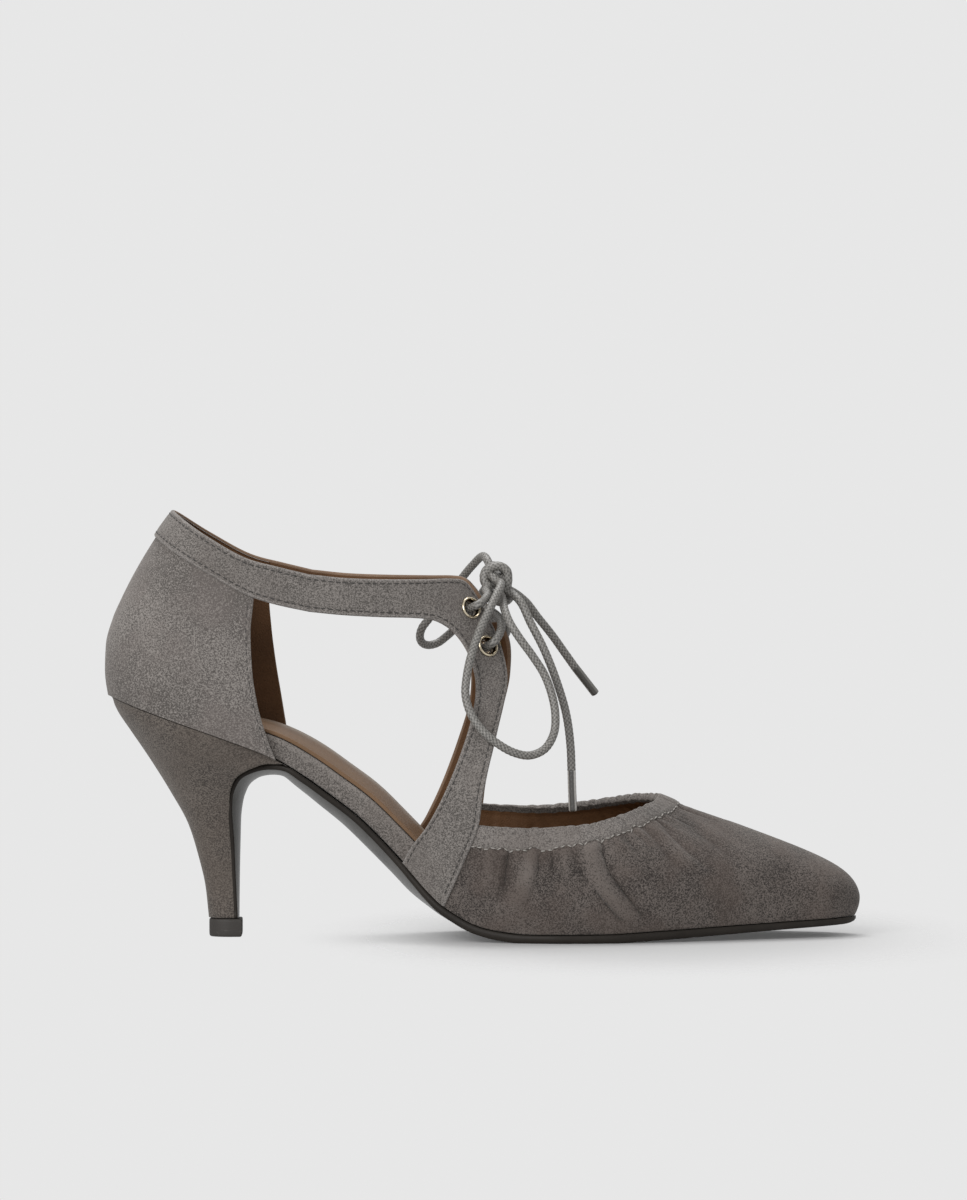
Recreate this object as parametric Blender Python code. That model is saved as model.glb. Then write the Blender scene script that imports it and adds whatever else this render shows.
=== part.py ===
"""Right lace-up pump on a curved cone heel, with open sides and a gathered vamp.

Sizes are in millimetres in the shoe's own frame: x runs from the back of the counter to the toe,
y from the lateral side (minus) to the medial side (plus), and z up from the floor.
"""

import math

import bpy
import numpy as np

MM = 0.001
GAP = 0.3
WALL = 1.6
COUNTER_ROWS = 8
COUNTER_COLS = 29
COUNTER_BELOW_COLLAR = 0.8
END_BUNCHING = 1.8
STRAP_ROWS = 4
STRAP_HEEL_COLS = 23
STRAP_SIDE_COLS = 32
VAMP_ROWS = 11
VAMP_SIDE_COLS = 12
VAMP_TOE_COLS = 6
BINDING_ROWS = 3
STRAP_INNER = 1.0
STRAP_OUTER = 2.6
BINDING_OUTER = 2.7
BINDING_WIDTH = 7.0
BINDING_UNDER_STRAP = 2.1
BINDING_FROM_STRAP = (124.0, 130.0)
BINDING_INNER = 0.5
BINDING_OVER_EDGE = 0.35
SOCK_THICK = 1.2
BED_PLACES = 31
BED_LIFT = 0.45
BED_INSET = 0.4
SOCK_INSET = 0.6
TOE_X = 247.8
TOE_ROUND = 13.0
TOE_POWER = 2.0
SEAT_BACK_X = 2.6
SEAT_ROUND = 26.0
SEAT_POWER = 2.0
SEAT_CAMBER = 1.5
SOLE_WELT_WAIST = 0.7
SOLE_WELT_FOREFOOT = 2.2
SOLE_BEVEL = 0.5
CROWN_POWER = 2.4
ANKLE_FRONT_POWER = 2.2
WAIST_BULGE = 6.5
WAIST_BULGE_HEIGHT = 40.0
TOP_PIECE_HEIGHT = 6.0
LACE_DIAMETER = 2.8
EYELET_BORE = 2.5
EYELET_BARREL = 3.0
EYELET_FLANGE = 3.8
EYELET_HOLE = 3.3
EYELET_SIDES = 14

# The last's bottom from heel to toe: height of the line where upper meets sole, middle, half width.
LAST_COLUMNS = ("x", "z", "centre", "half", "pad", "bank")
LAST = (
    (2.0, 79.4, 0.0, 22.6, 5.0, 0.0),
    (20.0, 72.9, 0.0, 22.8, 6.0, 0.0),
    (40.0, 65.9, 0.0, 22.8, 7.4, 0.2),
    (55.0, 60.1, -0.3, 21.6, 9.1, 0.7),
    (66.0, 53.6, -0.9, 19.8, 9.7, 1.1),
    (74.5, 47.5, -1.4, 19.0, 9.8, 1.15),
    (83.0, 41.1, -2.0, 18.8, 9.9, 1.15),
    (91.0, 33.5, -2.6, 19.3, 9.8, 1.1),
    (99.2, 24.7, -3.0, 20.3, 10.0, 1.0),
    (106.9, 15.9, -3.3, 22.0, 8.6, 0.8),
    (112.5, 10.9, -3.4, 23.6, 6.8, 0.5),
    (124.0, 4.9, -3.0, 27.3, 4.5, 0.0),
    (132.0, 3.3, -2.3, 29.8, 3.6, 0.0),
    (140.0, 2.6, -1.6, 32.0, 3.3, 0.0),
    (152.0, 2.6, -0.5, 34.3, 3.2, 0.0),
    (165.0, 2.7, 0.8, 34.6, 3.0, 0.0),
    (180.0, 3.4, 2.0, 32.4, 3.0, 0.0),
    (200.0, 4.4, 3.4, 26.8, 3.0, 0.0),
    (220.0, 5.3, 4.4, 19.4, 3.0, 0.0),
    (235.0, 5.9, 4.9, 13.6, 3.0, 0.0),
    (TOE_X, 6.4, 5.0, 9.6, 3.0, 0.0),
)

# The sole's upper face from the foot of the breast flap up and over to the waist.
FLAP_COLUMNS = ("x", "z", "half")
FLAP = (
    (42.8, 6.3, 5.5),
    (42.2, 19.2, 6.3),
    (41.6, 33.0, 8.6),
    (41.1, 42.5, 11.4),
    (41.7, 48.7, 13.4),
    (44.3, 53.6, 15.2),
    (49.2, 56.4, 17.2),
    (55.0, 57.6, 19.2),
    (60.5, 57.0, 20.6),
)

# Thickness of the sole's edge and how far its underside is crowned, along the way from the flap.
EDGE_COLUMNS = ("way", "edge", "crown")
EDGE = (
    (0.0, 1.2, 0.4),
    (12.0, 1.2, 1.1),
    (26.0, 1.3, 1.9),
    (36.0, 1.3, 2.9),
    (43.0, 1.4, 3.6),
    (48.0, 1.5, 3.5),
    (55.0, 1.6, 2.6),
    (62.0, 1.7, 2.5),
    (75.0, 1.8, 3.2),
    (100.0, 1.9, 4.0),
    (122.0, 2.0, 3.2),
    (133.0, 2.3, 1.4),
    (146.0, 2.6, 0.3),
    (160.0, 2.8, 0.0),
    (200.0, 2.8, 0.0),
    (240.0, 2.4, 0.0),
    (290.0, 1.7, 0.0),
)

# Heel sections from the top piece up to the seat: back point, front point, half width.
HEEL_COLUMNS = ("back_x", "back_z", "front_x", "front_z", "half", "round")
HEEL = (
    (34.3, 6.3, 42.4, 6.3, 5.5, 0.62),
    (33.2, 16.5, 41.9, 18.0, 6.3, 0.62),
    (30.8, 26.8, 41.4, 29.0, 7.9, 0.64),
    (27.6, 37.0, 40.8, 38.5, 10.4, 0.66),
    (21.6, 48.0, 41.0, 46.8, 14.4, 0.68),
    (14.6, 59.2, 42.8, 52.5, 19.0, 0.64),
    (8.4, 68.3, 47.8, 56.1, 23.0, 0.56),
    (4.4, 74.3, 54.0, 57.9, 25.2, 0.5),
    (2.2, 79.0, 60.2, 57.6, 26.1, 0.46),
)
HEEL_BREAST_TAPER = 0.06

# Plan sections of the ankle at heights: heel end, widest place and front end.
ANKLE_COLUMNS = ("z", "back_x", "back_half", "back_power", "wide_x", "front_half", "front_x")
ANKLE = (
    (55.0, 6.6, 24.2, 5.4, 104.0, 31.6, 170.0),
    (68.0, 4.6, 24.8, 5.4, 96.0, 31.0, 157.0),
    (78.0, 3.0, 25.3, 5.2, 88.0, 30.0, 147.5),
    (88.0, 1.7, 26.0, 5.0, 79.0, 28.6, 139.5),
    (96.0, 2.0, 26.6, 4.8, 73.0, 27.6, 134.2),
    (105.0, 4.4, 26.8, 4.5, 70.0, 26.8, 129.4),
    (110.0, 6.6, 26.7, 4.3, 69.0, 26.7, 126.6),
    (118.0, 10.6, 26.2, 4.0, 68.0, 26.2, 123.4),
    (126.0, 15.2, 25.4, 3.7, 68.0, 25.4, 121.0),
    (134.0, 20.4, 24.4, 3.4, 68.0, 24.4, 119.0),
    (143.0, 27.2, 23.2, 3.1, 68.0, 23.2, 117.0),
)
WIDE_X = 68.0

# Side view of the collar strap over the heel: lower and upper edge.
COLLAR_COLUMNS = ("x", "lower", "upper")
COLLAR = (
    (15.0, 133.4, 146.8),
    (24.0, 126.9, 139.8),
    (35.0, 120.2, 132.2),
    (49.0, 112.8, 124.8),
    (58.0, 110.1, 122.5),
    (WIDE_X, 108.0, 120.1),
)

# Edges of the strap in side view, on its outer face: from the widest place to the tab and down to the sole.
STRAP_COLUMNS = ("inner_x", "inner_z", "outer_x", "outer_z")
STRAP = (
    (WIDE_X, 108.0, WIDE_X, 120.1),
    (79.0, 106.9, 79.5, 119.0),
    (91.0, 106.3, 94.0, 118.7),
    (102.0, 106.0, 107.0, 118.7),
    (108.7, 105.2, 114.4, 118.8),
    (113.6, 102.8, 118.6, 118.2),
    (117.0, 99.6, 121.4, 115.6),
    (119.8, 95.4, 124.8, 110.0),
    (121.5, 91.0, 130.3, 99.0),
    (122.7, 84.0, 133.2, 86.6),
    (121.6, 75.0, 131.2, 75.4),
    (118.2, 63.8, 128.2, 63.6),
    (113.2, 50.0, 125.4, 49.4),
    (107.6, 39.0, 123.8, 38.2),
    (102.4, 31.8, 119.6, 27.4),
    (99.3, 26.0, 112.9, 11.6),
)
FACE_HEIGHTS = (50.0, 72.0)
FACE_FROM = (72.0, 95.0)

# How far the medial wall and the medial strap's front and rear edges sit ahead of the lateral ones, by height.
LEAD_COLUMNS = ("z", "wall", "front", "rear")
LEAD = (
    (10.0, 0.6, 0.6, 0.0),
    (32.0, 0.9, 0.8, -0.4),
    (42.0, 1.0, 1.0, -1.0),
    (52.0, 1.1, 1.0, -1.5),
    (64.0, 1.3, 0.9, -1.6),
    (74.0, 1.6, 0.8, -1.5),
    (82.0, 1.8, 0.8, -1.6),
    (88.0, 2.0, 1.2, -1.4),
    (93.0, 2.4, 2.6, -0.6),
    (98.0, 2.6, 3.4, 0.4),
    (104.0, 2.1, 2.6, 0.9),
    (110.0, 1.4, 1.5, 0.6),
    (119.0, 0.4, 0.4, 0.3),
)
LEAD_FROM = (92.0, 108.0)

# Front edge of the counter below the strap, lateral and medial.
COUNTER_COLUMNS = ("z", "lateral_x", "medial_x")
COUNTER = (
    (58.0, 57.6, 61.2),
    (66.0, 54.4, 59.8),
    (78.0, 51.0, 57.8),
    (90.0, 49.3, 55.8),
    (101.0, 48.9, 54.4),
    (112.0, 49.9, 53.6),
    (128.0, 51.0, 53.6),
)

# Lines of the vamp from its bound edge down to the sole, from the rear of each side to the toe.
VAMP_COLUMNS = ("top_x", "top_y", "top_z", "foot_x", "lead", "swell", "fall", "flare", "rise")
VAMP_LATERAL = (
    (117.0, -35.2, 39.4, 106.2, 0.1, 0.3, 8.0, 3.4, 10.0),
    (131.0, -35.6, 38.7, 126.0, 0.2, 1.5, 9.0, 4.0, 11.0),
    (144.0, -33.6, 38.4, 147.0, 0.3, 3.0, 8.5, 4.4, 13.0),
    (156.0, -29.2, 39.2, 168.0, 0.45, 4.4, 8.8, 4.6, 13.5),
    (167.5, -21.6, 41.4, 191.0, 0.62, 4.2, 11.0, 4.4, 14.0),
    (176.0, -12.2, 43.8, 215.0, 0.77, 2.6, 15.0, 3.6, 15.0),
    (180.8, -3.8, 44.7, 236.0, 0.86, 1.0, 19.6, 2.8, 15.4),
    (182.2, 3.0, 45.1, TOE_X, 0.895, 0.0, 22.0, 2.3, 15.6),
)
VAMP_MEDIAL = (
    (117.0, 29.2, 43.0, 104.6, 0.1, 0.3, 8.0, 3.4, 10.0),
    (131.0, 32.2, 41.6, 125.0, 0.2, 1.5, 9.0, 4.0, 11.0),
    (144.0, 33.0, 41.0, 147.0, 0.3, 3.0, 8.5, 4.4, 13.0),
    (156.0, 30.6, 41.6, 168.0, 0.45, 4.4, 8.8, 4.6, 13.5),
    (167.0, 25.0, 43.2, 191.0, 0.62, 4.2, 11.0, 4.4, 14.0),
    (175.4, 17.0, 44.6, 215.0, 0.77, 2.6, 15.0, 3.6, 15.0),
    (180.4, 9.2, 44.9, 236.0, 0.86, 1.0, 19.6, 2.8, 15.4),
    (182.2, 3.0, 45.1, TOE_X, 0.895, 0.0, 22.0, 2.3, 15.6),
)
VAMP_UNDER_STRAP = (118.0, 142.0)

# Eyelet centres in side view, on the tabs' outer faces: upper and lower, lateral and medial.
EYELETS = {
    "lateral_upper": (-1, 120.8, 108.9),
    "lateral_lower": (-1, 126.3, 96.4),
    "medial_upper": (1, 122.2, 108.9),
    "medial_lower": (1, 129.2, 96.4),
}

# The bow: its knot, where each strand leaves the knot, and the free strands' further points.
KNOT_CENTRE = (128.6, -0.5, 117.2)
KNOT_HALF = (4.6, 4.8, 5.4)
SEAT_GAP = 0.5
SEAT_RUN = 2.6
SEATS = {
    "lateral_held": (-0.35, -0.88, -0.32),
    "medial_held": (-0.35, 0.88, -0.32),
    "lateral_out": (0.25, -0.95, -0.02),
    "lateral_back": (0.30, -0.75, -0.59),
    "medial_out": (-0.25, 0.62, 0.74),
    "medial_back": (0.25, 0.90, 0.20),
    "long": (0.74, -0.46, -0.49),
    "short": (0.74, 0.52, -0.42),
}
CORD_ROUTES = {
    "lace_loop_lateral": (
        "lateral_out",
        (127.9, -17.6, 110.4), (124.9, -22.6, 104.4), (121.8, -26.8, 96.4),
        (119.7, -30.2, 88.0), (119.2, -32.6, 80.6), (121.3, -34.6, 74.2), (125.3, -35.7, 68.9),
        (129.8, -35.8, 65.2), (134.8, -34.8, 62.4), (139.9, -32.6, 61.3), (144.9, -29.8, 63.2),
        (148.0, -27.0, 68.2), (148.5, -24.8, 74.6), (147.4, -22.8, 80.6), (144.8, -21.4, 87.5),
        (140.9, -21.0, 93.6), (136.8, -20.6, 99.2), (133.6, -18.8, 104.2), (132.0, -15.0, 108.0),
        (131.4, -10.6, 110.4),
        "lateral_back",
    ),
    "lace_loop_medial": (
        "medial_out",
        (124.9, 9.6, 125.2), (121.2, 15.8, 121.8), (115.8, 22.4, 115.0), (110.8, 26.2, 109.2),
        (106.7, 27.1, 103.7), (104.5, 27.8, 100.7), (103.8, 29.7, 97.8), (104.65, 32.3, 95.6),
        (106.8, 34.95, 94.8), (109.7, 36.9, 95.5), (112.6, 37.6, 97.6), (117.6, 35.9, 102.6),
        (122.4, 30.4, 109.2), (126.4, 22.6, 115.4), (129.0, 14.2, 119.2),
        "medial_back",
    ),
    "lace_end_long": (
        "long",
        (137.0, -7.0, 110.8), (140.4, -10.2, 104.0),
        (144.8, -13.2, 95.4), (149.0, -15.2, 84.8), (152.2, -16.4, 73.8), (153.6, -16.8, 63.0),
        (153.9, -16.8, 55.6),
    ),
    "lace_end_short": (
        "short",
        (138.8, 5.8, 110.4), (143.0, 7.6, 105.0),
        (147.6, 9.4, 99.2), (152.0, 10.8, 93.0), (155.4, 11.8, 88.2),
    ),
}
TIPS = {
    "lace_tip_long": ((153.92, -16.8, 55.3), (154.4, -16.8, 42.0)),
    "lace_tip_short": ((155.58, 11.86, 87.95), (162.3, 13.6, 79.3)),
}
TIP_DIAMETER = 2.4


def columns(rows, names):
    """The columns of a table as arrays by name."""
    values = np.array(rows, float)
    return {name: values[:, i] for i, name in enumerate(names)}


def smooth(at, knots, values):
    """Monotone cubic through the knots of a table's column."""
    at = np.clip(np.asarray(at, float), knots[0], knots[-1])
    step = np.diff(knots)
    rise = np.diff(values) / step
    slope = np.zeros(len(knots))
    same = rise[:-1] * rise[1:] > 0
    total = np.where(same, rise[:-1] + rise[1:], 1.0)
    slope[1:-1] = np.where(same, 2 * rise[:-1] * rise[1:] / total, 0.0)
    slope[0] = rise[0]
    slope[-1] = rise[-1]
    i = np.clip(np.searchsorted(knots, at, side="right") - 1, 0, len(step) - 1)
    t = (at - knots[i]) / step[i]
    h00 = (1 + 2 * t) * (1 - t) ** 2
    h01 = t * t * (3 - 2 * t)
    h10 = t * (1 - t) ** 2 * step[i]
    h11 = t * t * (t - 1) * step[i]
    return h00 * values[i] + h10 * slope[i] + h01 * values[i + 1] + h11 * slope[i + 1]


def ramp(at, low, high):
    """Smooth step from 0 at low to 1 at high."""
    t = np.clip((np.asarray(at, float) - low) / (high - low), 0.0, 1.0)
    return t * t * (3 - 2 * t)


def unit(vectors):
    """Vectors along the last axis, made one long."""
    return vectors / np.maximum(np.linalg.norm(vectors, axis=-1, keepdims=True), 1e-12)


def along(points, count):
    """Points evenly spaced along a smooth curve through the given ones."""
    points = np.array(points, float)
    way = np.concatenate(([0.0], np.cumsum(np.linalg.norm(np.diff(points, axis=0), axis=1))))
    fine = np.linspace(0.0, way[-1], 40 * len(points))
    curve = catmull(fine, way, points)
    length = np.concatenate(([0.0], np.cumsum(np.linalg.norm(np.diff(curve, axis=0), axis=1))))
    even = np.linspace(0.0, length[-1], count)
    return np.stack([np.interp(even, length, curve[:, k]) for k in range(points.shape[1])], axis=1)


def catmull(at, knots, points):
    """Cubic through points whose slope at each is that of its two neighbours."""
    slope = np.gradient(points, knots, axis=0)
    i = np.clip(np.searchsorted(knots, at, side="right") - 1, 0, len(knots) - 2)
    step = (knots[i + 1] - knots[i])[:, None]
    t = ((at - knots[i]) / (knots[i + 1] - knots[i]))[:, None]
    start = (1 + 2 * t) * (1 - t) ** 2 * points[i] + t * (1 - t) ** 2 * step * slope[i]
    return start + t * t * (3 - 2 * t) * points[i + 1] + t * t * (t - 1) * step * slope[i + 1]


last = columns(LAST, LAST_COLUMNS)
ankle = columns(ANKLE, ANKLE_COLUMNS)
lead = columns(LEAD, LEAD_COLUMNS)


def last_at(name, x):
    """A column of the last's table at places along the shoe."""
    return smooth(x, last["x"], last[name])


def last_half(x):
    """Half width of the last's bottom, rounded at the seat and at the toe."""
    seat = np.clip((SEAT_BACK_X + SEAT_ROUND - x) / SEAT_ROUND, 0.0, 1.0)
    toe = np.clip((x - TOE_X + TOE_ROUND) / TOE_ROUND, 0.0, 1.0)
    seat_share = (1 - seat**SEAT_POWER) ** (1 / SEAT_POWER)
    toe_share = (1 - toe**TOE_POWER) ** (1 / TOE_POWER)
    return last_at("half", x) * seat_share * toe_share


def feather(side, x):
    """Points of the line where the upper meets the sole, on one side."""
    return np.stack([x, last_at("centre", x) + side * last_half(x), last_at("z", x)], axis=-1)


def ankle_half_front(x, z):
    """Half width of the ankle and instep in front of its widest place."""
    wide = smooth(z, ankle["z"], ankle["wide_x"])
    front = smooth(z, ankle["z"], ankle["front_x"])
    reach = np.clip((x - wide) / (front - wide), 0.0, 1.0)
    share = (1 - reach**ANKLE_FRONT_POWER) ** (1 / ANKLE_FRONT_POWER)
    return smooth(z, ankle["z"], ankle["front_half"]) * share


def medial_lead(name, side, x, z):
    """How far the medial wall or an edge of the medial strap sits ahead of its lateral twin."""
    medial = np.where(side > 0, 1.0, 0.0)
    return medial * smooth(z, lead["z"], lead[name]) * ramp(x, *LEAD_FROM)


def strap_y(side, x, z):
    """Where the strap lies across the shoe: on the ankle above, on the last's side below."""
    height = np.clip((z - last_at("z", x)) / WAIST_BULGE_HEIGHT, 0.0, 1.0)
    bulge = WAIST_BULGE * (1 - (1 - height) ** 2)
    low = last_at("centre", x) + side * (last_at("half", x) + bulge)
    high = side * ankle_half_front(x - medial_lead("wall", side, x, z), z)
    share = ramp(z, 42.0, 74.0)
    return low + (high - low) * share


def wall_normal(side, x, z):
    """Outward normal of the strap's wall at places in side view."""
    d = 0.5
    slope_x = (strap_y(side, x + d, z) - strap_y(side, x - d, z)) / (2 * d)
    slope_z = (strap_y(side, x, z + d) - strap_y(side, x, z - d)) / (2 * d)
    return unit(side * np.stack([-slope_x, np.ones_like(slope_x), -slope_z], axis=-1))


def under_face(side, x, z):
    """Places on the wall's inmost face that lie under places on the strap's outer face."""
    share = ramp(z, *FACE_HEIGHTS) * ramp(x, *FACE_FROM) * STRAP_OUTER
    at_x, at_z = x, z
    for _ in range(30):
        normal = wall_normal(side, at_x, at_z)
        at_x = 0.5 * (at_x + x - share * normal[..., 0])
        at_z = 0.5 * (at_z + z - share * normal[..., 2])
    return at_x, at_z


def round_heel(angle, z):
    """Point of the ankle's plan section behind its widest place, by angle from the back."""
    power = smooth(z, ankle["z"], ankle["back_power"])
    reach = np.abs(np.cos(angle)) ** (2 / power)
    share = np.abs(np.sin(angle))
    x = WIDE_X - (WIDE_X - smooth(z, ankle["z"], ankle["back_x"])) * reach
    y = np.sign(angle) * smooth(z, ankle["z"], ankle["back_half"]) * share
    return x, y


def angle_at(x, z):
    """Angle from the back at which the ankle's plan section reaches a place along the shoe."""
    power = smooth(z, ankle["z"], ankle["back_power"])
    reach = (WIDE_X - x) / (WIDE_X - smooth(z, ankle["z"], ankle["back_x"]))
    return np.arccos(np.clip(reach, 0.0, 1.0) ** (power / 2))


def bunched(count):
    """Even shares from -1 to 1 moved towards the ends."""
    share = np.linspace(-1.0, 1.0, count)
    return np.sign(share) * (1 - (1 - np.abs(share)) ** END_BUNCHING)


def heel_grid(angle_of, lower, upper, rows, cols):
    """Grid round the heel between two side-view lines, with columns at angles that may follow height."""
    t = np.linspace(0.0, 1.0, rows)[:, None]
    z = 95.0 + 35.0 * t + np.zeros((rows, cols))
    for _ in range(60):
        x, y = round_heel(angle_of(z), z)
        z = lower(x) * (1 - t) + upper(x) * t
    x, y = round_heel(angle_of(z), z)
    return np.stack([x, y, z], axis=-1)


def offset(grid, distance, away_from):
    """The grid moved along its own normals, away from a place inside."""
    normal = unit(np.cross(np.gradient(grid, axis=0), np.gradient(grid, axis=1)))
    outward = np.sum(normal * (grid - np.array(away_from)), axis=-1)
    if np.mean(outward) < 0:
        normal = -normal
    moved = grid + normal * distance
    moved[..., 2] = np.maximum(moved[..., 2], last_at("z", moved[..., 0]) + GAP)
    return moved


def new_object(name, vertices, faces, material):
    """One mesh object in metres, under the shoe's empty, with its faces outwards."""
    vertices = np.asarray(vertices, float)
    volume = 0.0
    for face in faces:
        for i in range(1, len(face) - 1):
            a, b, c = vertices[face[0]], vertices[face[i]], vertices[face[i + 1]]
            volume += np.dot(a, np.cross(b, c))
    if volume < 0:
        faces = [tuple(reversed(face)) for face in faces]
    mesh = bpy.data.meshes.new(name)
    mesh.from_pydata((vertices * MM).tolist(), [], [tuple(int(i) for i in face) for face in faces])
    mesh.update()
    mesh.shade_smooth()
    mesh.set_sharp_from_angle(angle=math.radians(35.0))
    obj = bpy.data.objects.new(name, mesh)
    bpy.context.scene.collection.objects.link(obj)
    if material is not None:
        mesh.materials.append(material)
    return obj


def thick_grid(name, inner, outer, material, ring=False):
    """Closed wall between two grids of the same size, or a closed tube wall if ring is set."""
    rows, cols = inner.shape[:2]
    vertices = np.concatenate([inner.reshape(-1, 3), outer.reshape(-1, 3)])
    base = rows * cols
    faces = []
    last_col = cols if ring else cols - 1
    for i in range(rows - 1):
        for j in range(last_col):
            k = (j + 1) % cols
            a, b, c, d = i * cols + j, i * cols + k, (i + 1) * cols + k, (i + 1) * cols + j
            faces.append((a, d, c, b))
            faces.append((base + a, base + b, base + c, base + d))
    for j in range(last_col):
        k = (j + 1) % cols
        faces.append((j, k, base + k, base + j))
        top = (rows - 1) * cols
        faces.append((top + k, top + j, base + top + j, base + top + k))
    if not ring:
        for i in range(rows - 1):
            a, b = i * cols, (i + 1) * cols
            faces.append((b, a, base + a, base + b))
            c, d = a + cols - 1, b + cols - 1
            faces.append((c, d, base + d, base + c))
    return new_object(name, vertices, faces, material)


def loft(name, rings, material):
    """Closed solid through rings of points, each closed and running the same way."""
    rings = np.array(rings, float)
    count, sides = rings.shape[:2]
    faces = []
    for i in range(count - 1):
        for j in range(sides):
            k = (j + 1) % sides
            faces.append((i * sides + j, i * sides + k, (i + 1) * sides + k, (i + 1) * sides + j))
    end = (count - 1) * sides
    for j in range(1, sides // 2):
        k = sides - 1 - j
        left, right = j, (k + 1) % sides
        faces.append((left + 1, left, right, k) if left + 1 != k else (left, right, k))
        faces.append((end + left, end + left + 1, end + k, end + right)
                     if left + 1 != k else (end + right, end + left, end + k))
    faces.append((1, 0, sides - 1))
    faces.append((end, end + 1, end + sides - 1))
    return new_object(name, rings.reshape(-1, 3), faces, material)


def finish(name, colour, roughness, metallic=0.0):
    """Principled material of one colour."""
    material = bpy.data.materials.new(name)
    material.use_nodes = True
    shader = material.node_tree.nodes["Principled BSDF"]
    shader.inputs["Base Color"].default_value = (*colour, 1.0)
    shader.inputs["Roughness"].default_value = roughness
    shader.inputs["Metallic"].default_value = metallic
    return material


def tool(obj):
    """Marks an object as a construction shape that isn't a piece of the shoe."""
    obj.hide_render = True
    obj.display_type = "WIRE"
    return obj


def boolean(obj, other, operation):
    """Adds a Boolean with a construction shape."""
    modifier = obj.modifiers.new(operation.title() + " " + other.name, "BOOLEAN")
    modifier.operation = operation
    modifier.solver = "EXACT"
    modifier.object = tool(other)


def sole_way():
    """The sole's upper face in side view, with its middle and half width, flap end to toe."""
    flap = columns(FLAP, FLAP_COLUMNS)
    x = np.concatenate([np.linspace(66.0, 124.0, 15), np.linspace(130.0, 236.0, 17)])
    x = np.concatenate([x, TOE_X - TOE_ROUND * (1 - np.sin(np.linspace(0.15, 0.497, 8) * math.pi))])
    welt = SOLE_WELT_WAIST + (SOLE_WELT_FOREFOOT - SOLE_WELT_WAIST) * ramp(x, 92.0, 112.0)
    centre = last_at("centre", x)
    half = last_half(x) + welt
    fore = np.stack([x, last_at("z", x), centre, half], axis=1)
    rear = np.stack([flap["x"], flap["z"], np.zeros(len(FLAP)), flap["half"]], axis=1)
    rows = np.concatenate([rear, fore])
    way = np.concatenate(([0.0], np.cumsum(np.hypot(*np.diff(rows[:, :2], axis=0).T))))
    dense = np.concatenate([np.linspace(0.0, way[len(FLAP)], 24)[:-1], way[len(FLAP):]])
    return dense, catmull(dense, way, rows)


def build_outsole(material):
    """Outsole: sections across the way, flat above, crowned below, worn flat where it stands."""
    way, rows = sole_way()
    edge = columns(EDGE, EDGE_COLUMNS)
    tangent = unit(np.gradient(rows[:, :2], way, axis=0))
    up = np.stack([-tangent[:, 1], tangent[:, 0]], axis=1)
    across_top = np.array([-1.0, 0.0, 1.0])
    across_bottom = np.linspace(1.0, -1.0, 9)
    rings = []
    for (x, z, centre, half), (nx, nz), at in zip(rows, up, way):
        rim = float(smooth(at, edge["way"], edge["edge"]))
        crown = float(smooth(at, edge["way"], edge["crown"]))
        depth = rim + crown * (1 - np.abs(across_bottom) ** CROWN_POWER)
        bottom_half = half - min(SOLE_BEVEL, half / 2)
        top = np.stack([np.full(3, x), centre + across_top * half, np.full(3, z)], axis=1)
        low = np.stack([x - nx * depth, centre + across_bottom * bottom_half, z - nz * depth], axis=1)
        low[:, 2] = np.maximum(low[:, 2], 0.0)
        rings.append(np.concatenate([top, low]))
    return loft("outsole", rings, material)


def bed_ring(x, low_offset, high_offset, inset, bank):
    """Section of the footbed or sock square to the last's bottom line."""
    step = 0.2
    rise = float(last_at("z", x + step) - last_at("z", x - step))
    run = min(x + step, TOE_X) - max(x - step, 2.0)
    length = math.hypot(rise, run)
    nx, nz = -rise / length, run / length
    half = max(float(last_half(np.array(x))) - inset, 0.4)
    centre = float(last_at("centre", x))
    base_z = float(last_at("z", x))
    across_low = np.linspace(-1.0, 1.0, 5)
    across_high = np.linspace(1.0, -1.0, 7)
    low = np.full(5, low_offset) + (bank * across_low if low_offset > 1.0 else 0.0)
    high = high_offset + bank * across_high
    lower = np.stack([x + nx * low, centre + across_low * half, base_z + nz * low], axis=1)
    upper = np.stack([x + nx * high, centre + across_high * half, base_z + nz * high], axis=1)
    return np.concatenate([lower, upper])


def bed_places(first, final):
    """Places along the shoe, closer together towards the round ends."""
    t = np.linspace(0.0, 1.0, BED_PLACES)
    return first + (final - first) * (t - 0.85 * np.sin(2 * math.pi * t) / (2 * math.pi))


def build_footbed(material):
    """Suede-wrapped board that fills the upper's bottom and shows at the open waist."""
    rings = []
    for x in bed_places(SEAT_BACK_X + 0.6, TOE_X - 1.6):
        pad = float(last_at("pad", x))
        bank = float(last_at("bank", x))
        rings.append(bed_ring(x, BED_LIFT, pad - SOCK_THICK - GAP, BED_INSET, bank))
    return loft("footbed", rings, material)


def build_insole(material):
    """Sock lining on the footbed."""
    rings = []
    for x in bed_places(SEAT_BACK_X + 1.8, TOE_X - 2.6):
        pad = float(last_at("pad", x))
        bank = float(last_at("bank", x))
        rings.append(bed_ring(x, pad - SOCK_THICK, pad, BED_INSET + SOCK_INSET, bank))
    return loft("insole", rings, material)


def d_section(round_share, taper):
    """Half of a D: places along it and half widths, round at the back and straight to the front."""
    turn = np.linspace(0.0, 1.0, 9) * math.pi / 2
    reach = round_share * (1 - np.cos(turn))
    width = np.sin(turn)
    places = np.concatenate([reach, [(1 + round_share) / 2, 1.0]])
    return places, np.concatenate([width, [1 - taper * 0.3, 1 - taper]])


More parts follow.
